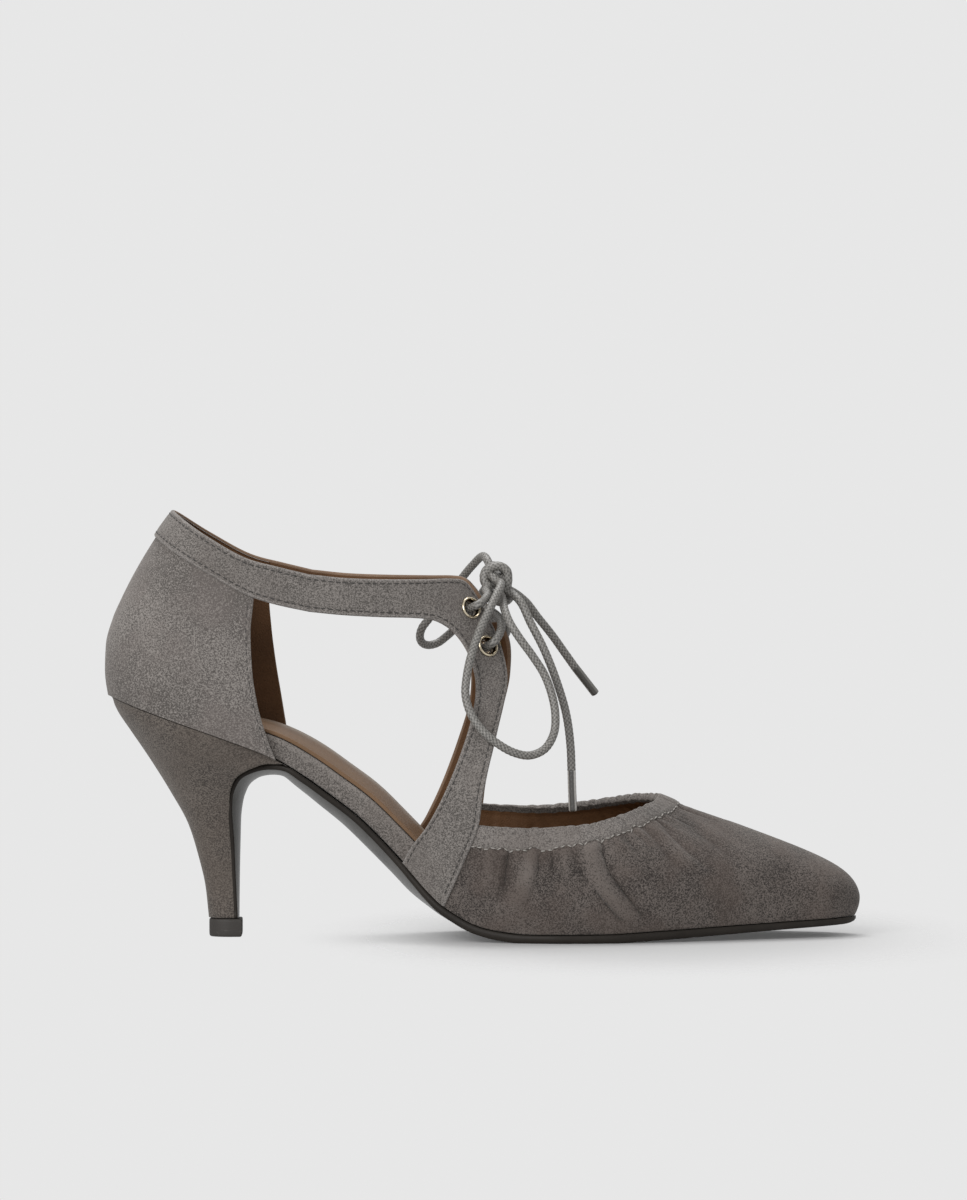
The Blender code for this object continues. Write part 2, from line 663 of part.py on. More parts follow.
def build_heel(material):
    """Cone heel: sections fan from level at the top piece to the sloping seat."""
    table = columns(HEEL, HEEL_COLUMNS)
    knots = np.arange(len(HEEL), dtype=float)
    at = np.linspace(0.0, len(HEEL) - 1.0, 17)
    row = {name: smooth(at, knots, table[name]) for name in HEEL_COLUMNS}
    rings = []
    for i in range(len(at)):
        along_side, width = d_section(row["round"][i], HEEL_BREAST_TAPER)
        x = row["back_x"][i] + along_side * (row["front_x"][i] - row["back_x"][i])
        z = row["back_z"][i] + along_side * (row["front_z"][i] - row["back_z"][i])
        if i == len(at) - 1:
            z = np.minimum(last_at("z", x), z + SEAT_CAMBER)
        y = width * row["half"][i]
        one = np.stack([x, -y, z], axis=1)
        other = np.stack([x, y, z], axis=1)[:0:-1]
        rings.append(np.concatenate([one, other]))
    return loft("heel", rings, material)


def build_top_piece(material):
    """D-shaped top piece that the heel stands on."""
    table = columns(HEEL, HEEL_COLUMNS)
    back, front, half = table["back_x"][0] + 0.2, 45.3, table["half"][0] + 0.2
    reach, width = d_section(table["round"][0], HEEL_BREAST_TAPER)
    rings = []
    for z, grow in ((0.0, -0.5), (0.7, 0.0), (TOP_PIECE_HEIGHT, 0.0)):
        x = back - grow + reach * (front - back + 2 * grow)
        y = width * (half + grow)
        one = np.stack([x, -y, np.full_like(x, z)], axis=1)
        other = np.stack([x, y, np.full_like(x, z)], axis=1)[:0:-1]
        rings.append(np.concatenate([one, other]))
    return loft("top_piece", rings, material)


def counter_grid():
    """Counter from the seat to the collar, round the heel between its two front edges."""
    table = columns(COUNTER, COUNTER_COLUMNS)
    collar = columns(COLLAR, COLLAR_COLUMNS)
    part = bunched(COUNTER_COLS)[None, :]

    def angle_of(z):
        lateral = angle_at(smooth(z, table["z"], table["lateral_x"]), z)
        medial = angle_at(smooth(z, table["z"], table["medial_x"]), z)
        return part * np.where(part < 0, lateral, medial)

    def seat(x):
        return last_at("z", x) + GAP

    def collar_top(x):
        return smooth(x, collar["x"], collar["upper"]) - COUNTER_BELOW_COLLAR

    return heel_grid(angle_of, seat, collar_top, COUNTER_ROWS, COUNTER_COLS)


def strap_side(side):
    """Half of the strap: from the widest place to the eyelet tab and down to the sole."""
    table = columns(STRAP, STRAP_COLUMNS)
    knots = np.arange(len(STRAP), dtype=float)
    at = np.linspace(0.0, len(STRAP) - 1.0, STRAP_SIDE_COLS)
    inner_x = table["inner_x"] + medial_lead("rear", side, table["inner_x"], table["inner_z"])
    outer_x = table["outer_x"] + medial_lead("front", side, table["outer_x"], table["outer_z"])
    edges = catmull(at, knots, np.stack([inner_x, table["inner_z"], outer_x, table["outer_z"]], axis=1))
    t = np.linspace(0.0, 1.0, STRAP_ROWS)[:, None]
    x = edges[:, 0] * (1 - t) + edges[:, 2] * t
    z = edges[:, 1] * (1 - t) + edges[:, 3] * t
    x, z = under_face(side, x, z)
    floor = last_at("z", x) + GAP + 0.2
    z[:, -1] = floor[:, -1]
    z = np.maximum(z, floor)
    return np.stack([x, strap_y(side, x, z), z], axis=-1)


def strap_grid():
    """The whole strap, from the lateral sole edge round the heel to the medial sole edge."""
    collar = columns(COLLAR, COLLAR_COLUMNS)

    def lower(x):
        return smooth(x, collar["x"], collar["lower"])

    def upper(x):
        return smooth(x, collar["x"], collar["upper"])

    def angle_of(z):
        return bunched(STRAP_HEEL_COLS)[None, :] * math.pi / 2 + 0.0 * z

    heel_part = heel_grid(angle_of, lower, upper, STRAP_ROWS, STRAP_HEEL_COLS)
    lateral = strap_side(-1)[:, :0:-1]
    medial = strap_side(1)[:, 1:]
    return np.concatenate([lateral, heel_part, medial], axis=1)


def vamp_lines():
    """Control points of the vamp's lines, smoothly filled in between its rows, and their side."""
    table = columns(VAMP_LATERAL + VAMP_MEDIAL[-2::-1], VAMP_COLUMNS)
    knots = np.arange(len(table["top_x"]), dtype=float)
    ridge = len(VAMP_LATERAL) - 1.0
    toe = np.linspace(ridge - 1.0, ridge + 1.0, 2 * VAMP_TOE_COLS + 1)
    lateral = np.linspace(0.0, ridge - 1.0, VAMP_SIDE_COLS)[:-1]
    at = np.concatenate([lateral, toe, 2 * ridge - lateral[::-1]])
    side = np.where(at < ridge, -1.0, 1.0)
    pick = {name: smooth(at, knots, table[name])[:, None] for name in VAMP_COLUMNS}
    foot = feather(side, pick["foot_x"][:, 0])
    foot[:, 2] += GAP
    tangent = np.gradient(foot, axis=0)
    out = unit(np.stack([np.maximum(tangent[:, 1], 0.0), -tangent[:, 0], np.zeros(len(at))], axis=1))
    top = np.concatenate([pick["top_x"], pick["top_y"], pick["top_z"]], axis=1)
    lift = np.array([0.0, 0.0, 1.0])
    ahead = (foot - top) * np.array([1.0, 1.0, 0.0]) * pick["lead"]
    near_top = top + ahead + out * pick["swell"] - lift * pick["fall"]
    near_foot = foot + out * pick["flare"] + lift * pick["rise"]
    return top, near_top, near_foot, foot, side


def vamp_grid():
    """Vamp surface: lines from the bound edge to the sole, lateral rear over the toe to medial rear."""
    top, near_top, near_foot, foot, side = vamp_lines()
    t = np.linspace(0.0, 1.0, VAMP_ROWS)[:, None, None]
    grid = ((1 - t) ** 3 * top + 3 * t * (1 - t) ** 2 * near_top
            + 3 * t * t * (1 - t) * near_foot + t**3 * foot)
    rear = 1 - ramp(grid[..., 0], *VAMP_UNDER_STRAP)
    wall = strap_y(side, grid[..., 0], grid[..., 2])
    grid[..., 1] += rear * (wall - grid[..., 1])
    return grid


def binding_grid(vamp):
    """The bound edge: the vamp's surface from just over its edge to its stitch line."""
    drop = np.linalg.norm(np.diff(vamp, axis=0), axis=-1)
    way = np.concatenate([np.zeros((1, vamp.shape[1])), np.cumsum(drop, axis=0)])
    wanted = np.linspace(0.0, BINDING_WIDTH, BINDING_ROWS)
    grid = np.empty((BINDING_ROWS, vamp.shape[1], 3))
    for j in range(vamp.shape[1]):
        for k in range(3):
            grid[:, j, k] = np.interp(wanted, way[:, j], vamp[:, j, k])
    grid[0] = vamp[0] + unit(vamp[0] - vamp[1]) * BINDING_OVER_EDGE
    return grid


def tab_frame(side, x, z):
    """Centre on the strap's outer face and outward normal at an eyelet."""
    at_x, at_z = under_face(side, np.array(x), np.array(z))
    normal = wall_normal(side, at_x, at_z)
    face = np.array([float(at_x), float(strap_y(side, at_x, at_z)), float(at_z)])
    return face + normal * STRAP_OUTER, normal


def turned(name, centre, normal, profile, segments, material):
    """Ring turned about an axis from a closed profile of radius and height."""
    helper = np.array([0.0, 0.0, 1.0])
    across = unit(np.cross(helper, normal))
    up = np.cross(normal, across)
    profile = np.array(profile, float)
    angle = np.linspace(0.0, 2 * math.pi, segments, endpoint=False)
    spoke = np.cos(angle)[:, None] * across + np.sin(angle)[:, None] * up
    points = centre + profile[None, :, :1] * spoke[:, None, :] + profile[None, :, 1:] * normal
    count = len(profile)
    faces = []
    for i in range(segments):
        n = (i + 1) % segments
        for j in range(count):
            k = (j + 1) % count
            faces.append((i * count + j, i * count + k, n * count + k, n * count + j))
    return new_object(name, points.reshape(-1, 3), faces, material)


def cylinder(name, centre, normal, radius, low, high):
    """Round cutter along a normal."""
    helper = np.array([0.0, 0.0, 1.0])
    across = unit(np.cross(helper, normal))
    up = np.cross(normal, across)
    angle = np.linspace(0.0, 2 * math.pi, 20, endpoint=False)
    rim = radius * (np.cos(angle)[:, None] * across + np.sin(angle)[:, None] * up)
    return loft(name, [centre + rim + normal * low, centre + rim + normal * high], None)


def build_eyelets(upper, material):
    """Four eyelets set in round holes of the tabs."""
    eyelets = []
    back = STRAP_INNER - STRAP_OUTER
    profile = (
        (EYELET_BORE, back - 1.3), (EYELET_FLANGE - 0.2, back - 1.3), (EYELET_FLANGE - 0.2, back - 0.8),
        (EYELET_BARREL, back - 0.7), (EYELET_BARREL, GAP), (EYELET_FLANGE, GAP),
        (EYELET_FLANGE - 0.2, GAP + 0.5), (EYELET_BARREL + 0.1, GAP + 0.8), (EYELET_BORE, GAP + 0.3),
    )
    for name, (side, x, z) in EYELETS.items():
        centre, normal = tab_frame(side, x, z)
        hole = cylinder("hole_" + name, centre, normal, EYELET_HOLE, -5.0, 4.0)
        boolean(upper, hole, "DIFFERENCE")
        eyelets.append(turned("eyelet_" + name, centre, normal, profile, EYELET_SIDES, material))
    return eyelets


def build_upper(material):
    """One hollow upper: counter, strap and vamp joined, with the vamp's bound edge as a step."""
    middle_heel = (40.0, 0.0, 100.0)
    middle_fore = (150.0, 0.0, 10.0)
    counter = counter_grid()
    upper = thick_grid("upper", counter, offset(counter, WALL, middle_heel), material)
    strap = strap_grid()
    strap_body = thick_grid("strap_form", offset(strap, STRAP_INNER, middle_heel),
                            offset(strap, STRAP_OUTER, middle_heel), material)
    vamp = vamp_grid()
    vamp_body = thick_grid("vamp_form", vamp, offset(vamp, WALL, middle_fore), material)
    binding = binding_grid(vamp)[:, 1:-1]
    clear_of_strap = ramp(binding[..., :1], *BINDING_FROM_STRAP)
    step_out = BINDING_UNDER_STRAP + (BINDING_OUTER - BINDING_UNDER_STRAP) * clear_of_strap
    binding_body = thick_grid("binding_form", offset(binding, BINDING_INNER, middle_fore),
                              offset(binding, step_out, middle_fore), material)
    boolean(upper, strap_body, "UNION")
    boolean(upper, vamp_body, "UNION")
    boolean(upper, binding_body, "UNION")
    return upper


def tube(name, route, diameter, material, spacing=1.5):
    """Round cord along a smooth curve through a route's points."""
    route = np.array(route, float)
    length = np.sum(np.linalg.norm(np.diff(route, axis=0), axis=1))
    points = along(route, max(4, int(round(length / (spacing * diameter))) + 1))
    curve = bpy.data.curves.new(name, "CURVE")
    curve.dimensions = "3D"
    curve.bevel_depth = diameter / 2 * MM
    curve.bevel_resolution = 2
    curve.use_fill_caps = True
    spline = curve.splines.new("POLY")
    spline.points.add(len(points) - 1)
    homogeneous = np.concatenate([points * MM, np.ones((len(points), 1))], axis=1)
    spline.points.foreach_set("co", homogeneous.ravel())
    curve.materials.append(material)
    obj = bpy.data.objects.new(name, curve)
    bpy.context.scene.collection.objects.link(obj)
    return obj


def knot_seat(name):
    """Where a strand leaves the knot: a little off its surface, then straight out along its normal."""
    direction = unit(np.array(SEATS[name]))
    normal = unit(direction / np.array(KNOT_HALF))
    first = np.array(KNOT_CENTRE) + direction * np.array(KNOT_HALF) + normal * SEAT_GAP
    return [first, first + normal * SEAT_RUN]


def cord_route(name):
    """Points of a free strand, with its named seats on the knot filled in."""
    first, *points = CORD_ROUTES[name]
    route = knot_seat(first)
    if isinstance(points[-1], str):
        return route + points[:-1] + knot_seat(points[-1])[::-1]
    return route + points


def lacing_route():
    """The held lace: knot, through the upper and lower eyelets of both tabs, back to the knot."""
    hole = {name: tab_frame(*place) for name, place in EYELETS.items()}

    def through(name, first, final):
        centre, normal = hole[name]
        return [centre + normal * out for out in np.linspace(first, final, 4)]

    return [
        *knot_seat("lateral_held"), (126.4, -11.6, 113.2), (125.2, -15.8, 111.4),
        *through("lateral_upper", 4.0, -4.0),
        (121.6, -4.6, 106.4), (126.4, -0.4, 105.0), (130.4, 3.6, 105.0), (132.8, 8.6, 104.8),
        (133.2, 13.2, 103.2), *through("medial_lower", 4.2, -4.2), (123.4, 5.0, 95.4),
        (122.8, 0.0, 95.4), (122.2, -4.6, 95.4), *through("lateral_lower", -4.2, 3.4),
        (130.2, -17.8, 100.4), (130.8, -13.2, 104.0), (129.4, -7.0, 106.2), (126.6, -1.4, 107.8),
        (122.6, 4.6, 108.6), *through("medial_upper", -4.0, 4.0),
        (126.6, 16.2, 111.4), (127.4, 11.8, 113.2), *knot_seat("medial_held")[::-1],
    ]


def build_lace(material, tip_material):
    """The lace: held crossing, knot, loops, ends and their tips."""
    pieces = [tube("lace_crossing", lacing_route(), LACE_DIAMETER, material, 1.3)]
    pieces += [tube(name, cord_route(name), LACE_DIAMETER, material) for name in CORD_ROUTES]
    pieces += [tube(name, ends, TIP_DIAMETER, tip_material) for name, ends in TIPS.items()]
    turn = np.linspace(0.0, 2 * math.pi, 16, endpoint=False)
    rings = []
    for lift in np.linspace(-0.46, 0.46, 8) * math.pi:
        circle = np.stack([np.cos(turn) * math.cos(lift), np.sin(turn) * math.cos(lift),
                           np.full_like(turn, math.sin(lift))], axis=1)
        rings.append(np.array(KNOT_CENTRE) + circle * np.array(KNOT_HALF))
    pieces.append(loft("lace_knot", rings, material))
    return pieces


def stand_on_origin(pieces, measured):
    """Parents the pieces to an empty that puts the middle of the measured box over the origin."""
    bpy.context.view_layer.update()
    graph = bpy.context.evaluated_depsgraph_get()
    lows, highs = [], []
    for obj in measured:
        mesh = obj.evaluated_get(graph).to_mesh()
        points = np.empty(len(mesh.vertices) * 3)
        mesh.vertices.foreach_get("co", points)
        lows.append(points.reshape(-1, 3).min(axis=0))
        highs.append(points.reshape(-1, 3).max(axis=0))
    low, high = np.min(lows, axis=0), np.max(highs, axis=0)
    shoe = bpy.data.objects.new("shoe", None)
    bpy.context.scene.collection.objects.link(shoe)
    shoe.location = (-(low[0] + high[0]) / 2, -(low[1] + high[1]) / 2, 0.0)
    for obj in pieces:
        obj.parent = shoe


def main():
    """Builds the shoe from its pieces."""
    for obj in list(bpy.data.objects):
        bpy.data.objects.remove(obj, do_unlink=True)
    suede = finish("grey suede", (0.18, 0.165, 0.155), 0.95)
    heel_suede = finish("heel suede", (0.145, 0.127, 0.112), 0.95)
    wrap_suede = finish("footbed suede", (0.17, 0.155, 0.145), 0.95)
    sock = finish("sock leather", (0.22, 0.185, 0.16), 0.6)
    leather = finish("dark sole leather", (0.03, 0.026, 0.024), 0.4)
    rubber = finish("black rubber", (0.04, 0.036, 0.033), 0.6)
    brass = finish("pale gold", (0.72, 0.58, 0.36), 0.3, 1.0)
    cord = finish("grey lace", (0.1, 0.095, 0.09), 0.6)
    clear = finish("lace tip", (0.2, 0.19, 0.18), 0.3)
    upper = build_upper(suede)
    body = [
        build_outsole(leather),
        build_heel(heel_suede),
        build_top_piece(rubber),
        build_footbed(wrap_suede),
        build_insole(sock),
        upper,
    ]
    body += build_eyelets(upper, brass)
    lace = build_lace(cord, clear)
    tools = [obj for obj in bpy.data.objects if obj.hide_render]
    stand_on_origin(body + lace + tools, body)


main()
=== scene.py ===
"""Dressed right lace-up pump: suede upper with a gathered vamp, cone heel, thin sole and a round lace.

Sizes are millimetres in the shoe's own frame: x runs from the back of the counter to the toe, y from
the lateral side (minus) to the medial side (plus), and z up from the floor. A piece is worked out
there as whole arrays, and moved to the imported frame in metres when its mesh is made.
"""

from __future__ import annotations

import logging
import math
from collections.abc import Callable, Sequence
from dataclasses import dataclass, field
from enum import Enum
from typing import Any

import bpy
import numpy as np
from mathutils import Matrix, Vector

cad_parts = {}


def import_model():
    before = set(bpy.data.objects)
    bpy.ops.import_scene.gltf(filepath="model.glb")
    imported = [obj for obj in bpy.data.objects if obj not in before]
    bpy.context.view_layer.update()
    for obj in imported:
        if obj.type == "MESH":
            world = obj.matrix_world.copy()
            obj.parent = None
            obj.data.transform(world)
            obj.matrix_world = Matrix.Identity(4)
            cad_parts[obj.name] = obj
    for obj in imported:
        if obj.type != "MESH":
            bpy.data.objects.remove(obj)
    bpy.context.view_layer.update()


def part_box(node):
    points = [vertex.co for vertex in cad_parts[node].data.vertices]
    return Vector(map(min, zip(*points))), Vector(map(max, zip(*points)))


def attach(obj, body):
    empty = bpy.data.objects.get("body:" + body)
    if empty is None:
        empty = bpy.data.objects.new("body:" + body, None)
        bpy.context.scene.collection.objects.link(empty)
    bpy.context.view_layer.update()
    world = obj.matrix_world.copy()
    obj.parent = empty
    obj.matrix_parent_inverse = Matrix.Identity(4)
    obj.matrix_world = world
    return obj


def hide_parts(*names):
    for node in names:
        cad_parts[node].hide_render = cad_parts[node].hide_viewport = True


Array = np.ndarray
Colour = tuple[float, float, float]
Pair = tuple[float, float]
Rows = tuple[tuple[float, ...], ...]

MM = 0.001
# The knot's middle, which ties the shoe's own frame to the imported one.
KNOT_CENTRE = (128.6, -0.5, 117.2)

log = logging.getLogger("shoe")


class Side(Enum):
    """The two sides of the shoe, by the sign of y."""

    LATERAL = -1
    MEDIAL = 1


class Slot(Enum):
    """Finishes that the record names."""

    UPPER = "upper_suede"
    HEEL = "heel_suede"
    FOOTBED = "footbed_suede"
    SOCK = "sock_leather"
    SOLE = "sole_leather"
    TOP_PIECE = "top_piece_rubber"
    EYELET = "eyelet_metal"
    LACE = "lace_cord"
    TIP = "lace_tip"


def ramp(at: Array | float, low: float, high: float) -> Array:
    """Smooth step from 0 at low to 1 at high: 3 t squared less 2 t cubed."""
    t = np.clip((np.asarray(at, float) - low) / (high - low), 0.0, 1.0)
    return t * t * (3 - 2 * t)


def unit(vectors: Array) -> Array:
    """Vectors along the last axis, divided by their lengths."""
    return vectors / np.maximum(np.linalg.norm(vectors, axis=-1, keepdims=True), 1e-12)


def hump(distance: Array, width: float) -> Array:
    """Bell curve: e to the minus square of distance over width."""
    return np.exp(-((distance / width) ** 2))


def smooth(at: Array | float, knots: Array, values: Array) -> Array:
    """Monotone cubic through knots: each inner slope is the harmonic mean of its two neighbours.

    Args:
        at: Places to read.
        knots: Rising places of the known values.
        values: Values at the knots.

    Returns:
        Values at the places, held level beyond the end knots.
    """
    at = np.clip(np.asarray(at, float), knots[0], knots[-1])
    step = np.diff(knots)
    rise = np.diff(values) / step
    slope = np.zeros(len(knots))
    same = rise[:-1] * rise[1:] > 0
    total = np.where(same, rise[:-1] + rise[1:], 1.0)
    slope[1:-1] = np.where(same, 2 * rise[:-1] * rise[1:] / total, 0.0)
    slope[0], slope[-1] = rise[0], rise[-1]
    i = np.clip(np.searchsorted(knots, at, side="right") - 1, 0, len(step) - 1)
    t = (at - knots[i]) / step[i]
    start = (1 + 2 * t) * (1 - t) ** 2 * values[i] + t * (1 - t) ** 2 * step[i] * slope[i]
    return start + t * t * (3 - 2 * t) * values[i + 1] + t * t * (t - 1) * step[i] * slope[i + 1]


def catmull(at: Array, knots: Array, points: Array) -> Array:
    """Cubic through points whose slope at each is that of the line between its two neighbours.

    Args:
        at: Places to read.
        knots: Rising places of the points.
        points: One row for each knot.

    Returns:
        One row for each place.
    """
    slope = np.gradient(points, knots, axis=0)
    i = np.clip(np.searchsorted(knots, at, side="right") - 1, 0, len(knots) - 2)
    step = (knots[i + 1] - knots[i])[:, None]
    t = ((at - knots[i]) / (knots[i + 1] - knots[i]))[:, None]
    start = (1 + 2 * t) * (1 - t) ** 2 * points[i] + t * (1 - t) ** 2 * step * slope[i]
    return start + t * t * (3 - 2 * t) * points[i + 1] + t * t * (t - 1) * step * slope[i + 1]


def travelled(points: Array) -> Array:
    """Length of a line of points from its first one to each."""
    return np.concatenate(([0.0], np.cumsum(np.linalg.norm(np.diff(points, axis=0), axis=1))))


def along(points: Sequence[Sequence[float]] | Array, count: int) -> Array:
    """Points evenly spaced along the smooth curve through the given ones.

    Args:
        points: Places that the curve runs through.
        count: How many points to give.

    Returns:
        One row for each point.
    """
    points = np.array(points, float)
    way = travelled(points)
    curve = catmull(np.linspace(0.0, way[-1], 40 * len(points)), way, points)
    length = travelled(curve)
    even = np.linspace(0.0, length[-1], count)
    return np.stack([np.interp(even, length, curve[:, k]) for k in range(points.shape[1])], axis=1)


@dataclass(frozen=True)
class Table:
    """Measured sizes in named columns, read along the first one."""

    names: tuple[str, ...]
    rows: Rows

    def column(self, name: str) -> Array:
        """One column as an array."""
        return np.array(self.rows, float)[:, self.names.index(name)]

    def at(self, name: str, place: Array | float) -> Array:
        """A column's value at places along the first column."""
        return smooth(place, self.column(self.names[0]), self.column(name))

    def blend(self, name: str, index: Array) -> Array:
        """A column's value at places given as row numbers with fractions."""
        return smooth(index, np.arange(len(self.rows), dtype=float), self.column(name))


# The last's bottom by place along the shoe: height, middle, half width, bed height and bank.
LAST = Table(("x", "z", "centre", "half", "pad", "bank"), (
    (2.0, 79.4, 0.0, 22.6, 5.0, 0.0),
    (20.0, 72.9, 0.0, 22.8, 6.0, 0.0),
    (40.0, 65.9, 0.0, 22.8, 7.4, 0.2),
    (55.0, 60.1, -0.3, 21.6, 9.1, 0.7),
    (66.0, 53.6, -0.9, 19.8, 9.7, 1.1),
    (74.5, 47.5, -1.4, 19.0, 9.8, 1.15),
    (83.0, 41.1, -2.0, 18.8, 9.9, 1.15),
    (91.0, 33.5, -2.6, 19.3, 9.8, 1.1),
    (99.2, 24.7, -3.0, 20.3, 10.0, 1.0),
    (106.9, 15.9, -3.3, 22.0, 8.6, 0.8),
    (112.5, 10.9, -3.4, 23.6, 6.8, 0.5),
    (124.0, 4.9, -3.0, 27.3, 4.5, 0.0),
    (132.0, 3.3, -2.3, 29.8, 3.6, 0.0),
    (140.0, 2.6, -1.6, 32.0, 3.3, 0.0),
    (152.0, 2.6, -0.5, 34.3, 3.2, 0.0),
    (165.0, 2.7, 0.8, 34.6, 3.0, 0.0),
    (180.0, 3.4, 2.0, 32.4, 3.0, 0.0),
    (200.0, 4.4, 3.4, 26.8, 3.0, 0.0),
    (220.0, 5.3, 4.4, 19.4, 3.0, 0.0),
    (235.0, 5.9, 4.9, 13.6, 3.0, 0.0),
    (247.8, 6.4, 5.0, 9.6, 3.0, 0.0),
))

# The ankle by height: back, widest and front places, half widths and the heel's roundness.
ANKLE = Table(("z", "back_x", "back_half", "back_power", "wide_x", "front_half", "front_x"), (
    (55.0, 6.6, 24.2, 5.4, 104.0, 31.6, 170.0),
    (68.0, 4.6, 24.8, 5.4, 96.0, 31.0, 157.0),
    (78.0, 3.0, 25.3, 5.2, 88.0, 30.0, 147.5),
    (88.0, 1.7, 26.0, 5.0, 79.0, 28.6, 139.5),
    (96.0, 2.0, 26.6, 4.8, 73.0, 27.6, 134.2),
    (105.0, 4.4, 26.8, 4.5, 70.0, 26.8, 129.4),
    (110.0, 6.6, 26.7, 4.3, 69.0, 26.7, 126.6),
    (118.0, 10.6, 26.2, 4.0, 68.0, 26.2, 123.4),
    (126.0, 15.2, 25.4, 3.7, 68.0, 25.4, 121.0),
    (134.0, 20.4, 24.4, 3.4, 68.0, 24.4, 119.0),
    (143.0, 27.2, 23.2, 3.1, 68.0, 23.2, 117.0),
))

# How far the medial wall and its strap's edges sit ahead of the lateral ones, by height.
LEAD = Table(("z", "wall", "front", "rear"), (
    (10.0, 0.6, 0.6, 0.0),
    (32.0, 0.9, 0.8, -0.4),
    (42.0, 1.0, 1.0, -1.0),
    (52.0, 1.1, 1.0, -1.5),
    (64.0, 1.3, 0.9, -1.6),
    (74.0, 1.6, 0.8, -1.5),
    (82.0, 1.8, 0.8, -1.6),
    (88.0, 2.0, 1.2, -1.4),
    (93.0, 2.4, 2.6, -0.6),
    (98.0, 2.6, 3.4, 0.4),
    (104.0, 2.1, 2.6, 0.9),
    (110.0, 1.4, 1.5, 0.6),
    (119.0, 0.4, 0.4, 0.3),
))


@dataclass(frozen=True)
class Form:
    """The foot-shaped form that the panels, the bed and the sole follow."""

    gap: float = 0.3
    toe_x: float = 247.8
    toe_round: float = 13.0
    seat_back_x: float = 2.6
    seat_round: float = 26.0
    wide_x: float = 68.0
    front_power: float = 2.2
    waist_bulge: float = 6.5
    waist_bulge_height: float = 40.0
    lead_from: Pair = (92.0, 108.0)
    wall_heights: Pair = (42.0, 74.0)
    face_heights: Pair = (50.0, 72.0)
    face_from: Pair = (72.0, 95.0)
    strap_outer: float = 2.6
    strap_inner: float = 1.0
    heel_start: Pair = (95.0, 35.0)
    heel_steps: int = 60
    face_steps: int = 30

    def half(self, x: Array) -> Array:
        """Half width of the bottom: the table's, times a quarter round at the seat and at the toe.

        Args:
            x: Places along the shoe.

        Returns:
            Half widths.
        """
        seat = np.clip((self.seat_back_x + self.seat_round - x) / self.seat_round, 0.0, 1.0)
        toe = np.clip((x - self.toe_x + self.toe_round) / self.toe_round, 0.0, 1.0)
        return LAST.at("half", x) * np.sqrt(1 - seat**2) * np.sqrt(1 - toe**2)

    def feather(self, side: Array, x: Array) -> Array:
        """Points of the line where the upper meets the sole."""
        return np.stack([x, LAST.at("centre", x) + side * self.half(x), LAST.at("z", x)], axis=-1)

    def instep_half(self, x: Array, z: Array) -> Array:
        """Half width in front of the widest place, falling to nothing at the front as a round power.

        Args:
            x: Places along the shoe.
            z: Heights.

        Returns:
            Half widths.
        """
        wide, front = ANKLE.at("wide_x", z), ANKLE.at("front_x", z)
        reach = np.clip((x - wide) / (front - wide), 0.0, 1.0)
        return ANKLE.at("front_half", z) * (1 - reach**self.front_power) ** (1 / self.front_power)

    def lead(self, name: str, side: Array | float, x: Array, z: Array) -> Array:
        """How far the medial wall or an edge of its strap sits ahead of its lateral twin."""
        return np.where(np.asarray(side) > 0, 1.0, 0.0) * LEAD.at(name, z) * ramp(x, *self.lead_from)

    def strap_y(self, side: Array | float, x: Array, z: Array) -> Array:
        """Where the strap lies across the shoe: bulged on the last below, on the ankle above.

        Args:
            side: Minus one for the lateral side, plus one for the medial side.
            x: Places along the shoe.
            z: Heights.

        Returns:
            The y of the strap's inmost face.
        """
        height = np.clip((z - LAST.at("z", x)) / self.waist_bulge_height, 0.0, 1.0)
        bulge = self.waist_bulge * (1 - (1 - height) ** 2)
        low = LAST.at("centre", x) + side * (LAST.at("half", x) + bulge)
        high = side * self.instep_half(x - self.lead("wall", side, x, z), z)
        return low + (high - low) * ramp(z, *self.wall_heights)

    def round_heel(self, angle: Array, z: Array) -> tuple[Array, Array]:
        """Plan section behind the widest place: x by a power of the cosine, y by the sine.

        Args:
            angle: Angles from the back, minus on the lateral side.
            z: Heights.

        Returns:
            Places along the shoe and across it.
        """
        reach = np.abs(np.cos(angle)) ** (2 / ANKLE.at("back_power", z))
        x = self.wide_x - (self.wide_x - ANKLE.at("back_x", z)) * reach
        return x, np.sign(angle) * ANKLE.at("back_half", z) * np.abs(np.sin(angle))

    def angle_at(self, x: Array, z: Array) -> Array:
        """Angle from the back at which the plan section reaches a place along the shoe."""
        reach = (self.wide_x - x) / (self.wide_x - ANKLE.at("back_x", z))
        return np.arccos(np.clip(reach, 0.0, 1.0) ** (ANKLE.at("back_power", z) / 2))

    def heel_grid(self, angle_of: Callable[[Array], Array], lower: Callable[[Array], Array],
                  upper: Callable[[Array], Array], rows: int, cols: int) -> Array:
        """Grid round the heel between two side-view lines, found by repeated substitution of z.

        Args:
            angle_of: Angles of the columns at heights.
            lower: Height of the lower line at places along the shoe.
            upper: Height of the upper line.
            rows: Rows from the lower to the upper line.
            cols: Columns round the heel.

        Returns:
            Points, rows by columns.
        """
        t = np.linspace(0.0, 1.0, rows)[:, None]
        z = self.heel_start[0] + self.heel_start[1] * t + np.zeros((rows, cols))
        for _ in range(self.heel_steps):
            x, y = self.round_heel(angle_of(z), z)
            z = lower(x) * (1 - t) + upper(x) * t
        x, y = self.round_heel(angle_of(z), z)
        return np.stack([x, y, z], axis=-1)

    def above_sole(self, points: Array) -> Array:
        """Points lifted where they would lie under the line where the upper meets the sole.

        Args:
            points: Places in the shoe's own frame.

        Returns:
            The places after lifting.
        """
        floor = LAST.at("z", points[..., 0]) + self.gap
        lifted = points.copy()
        lifted[..., 2] = np.maximum(points[..., 2], floor)
        return lifted

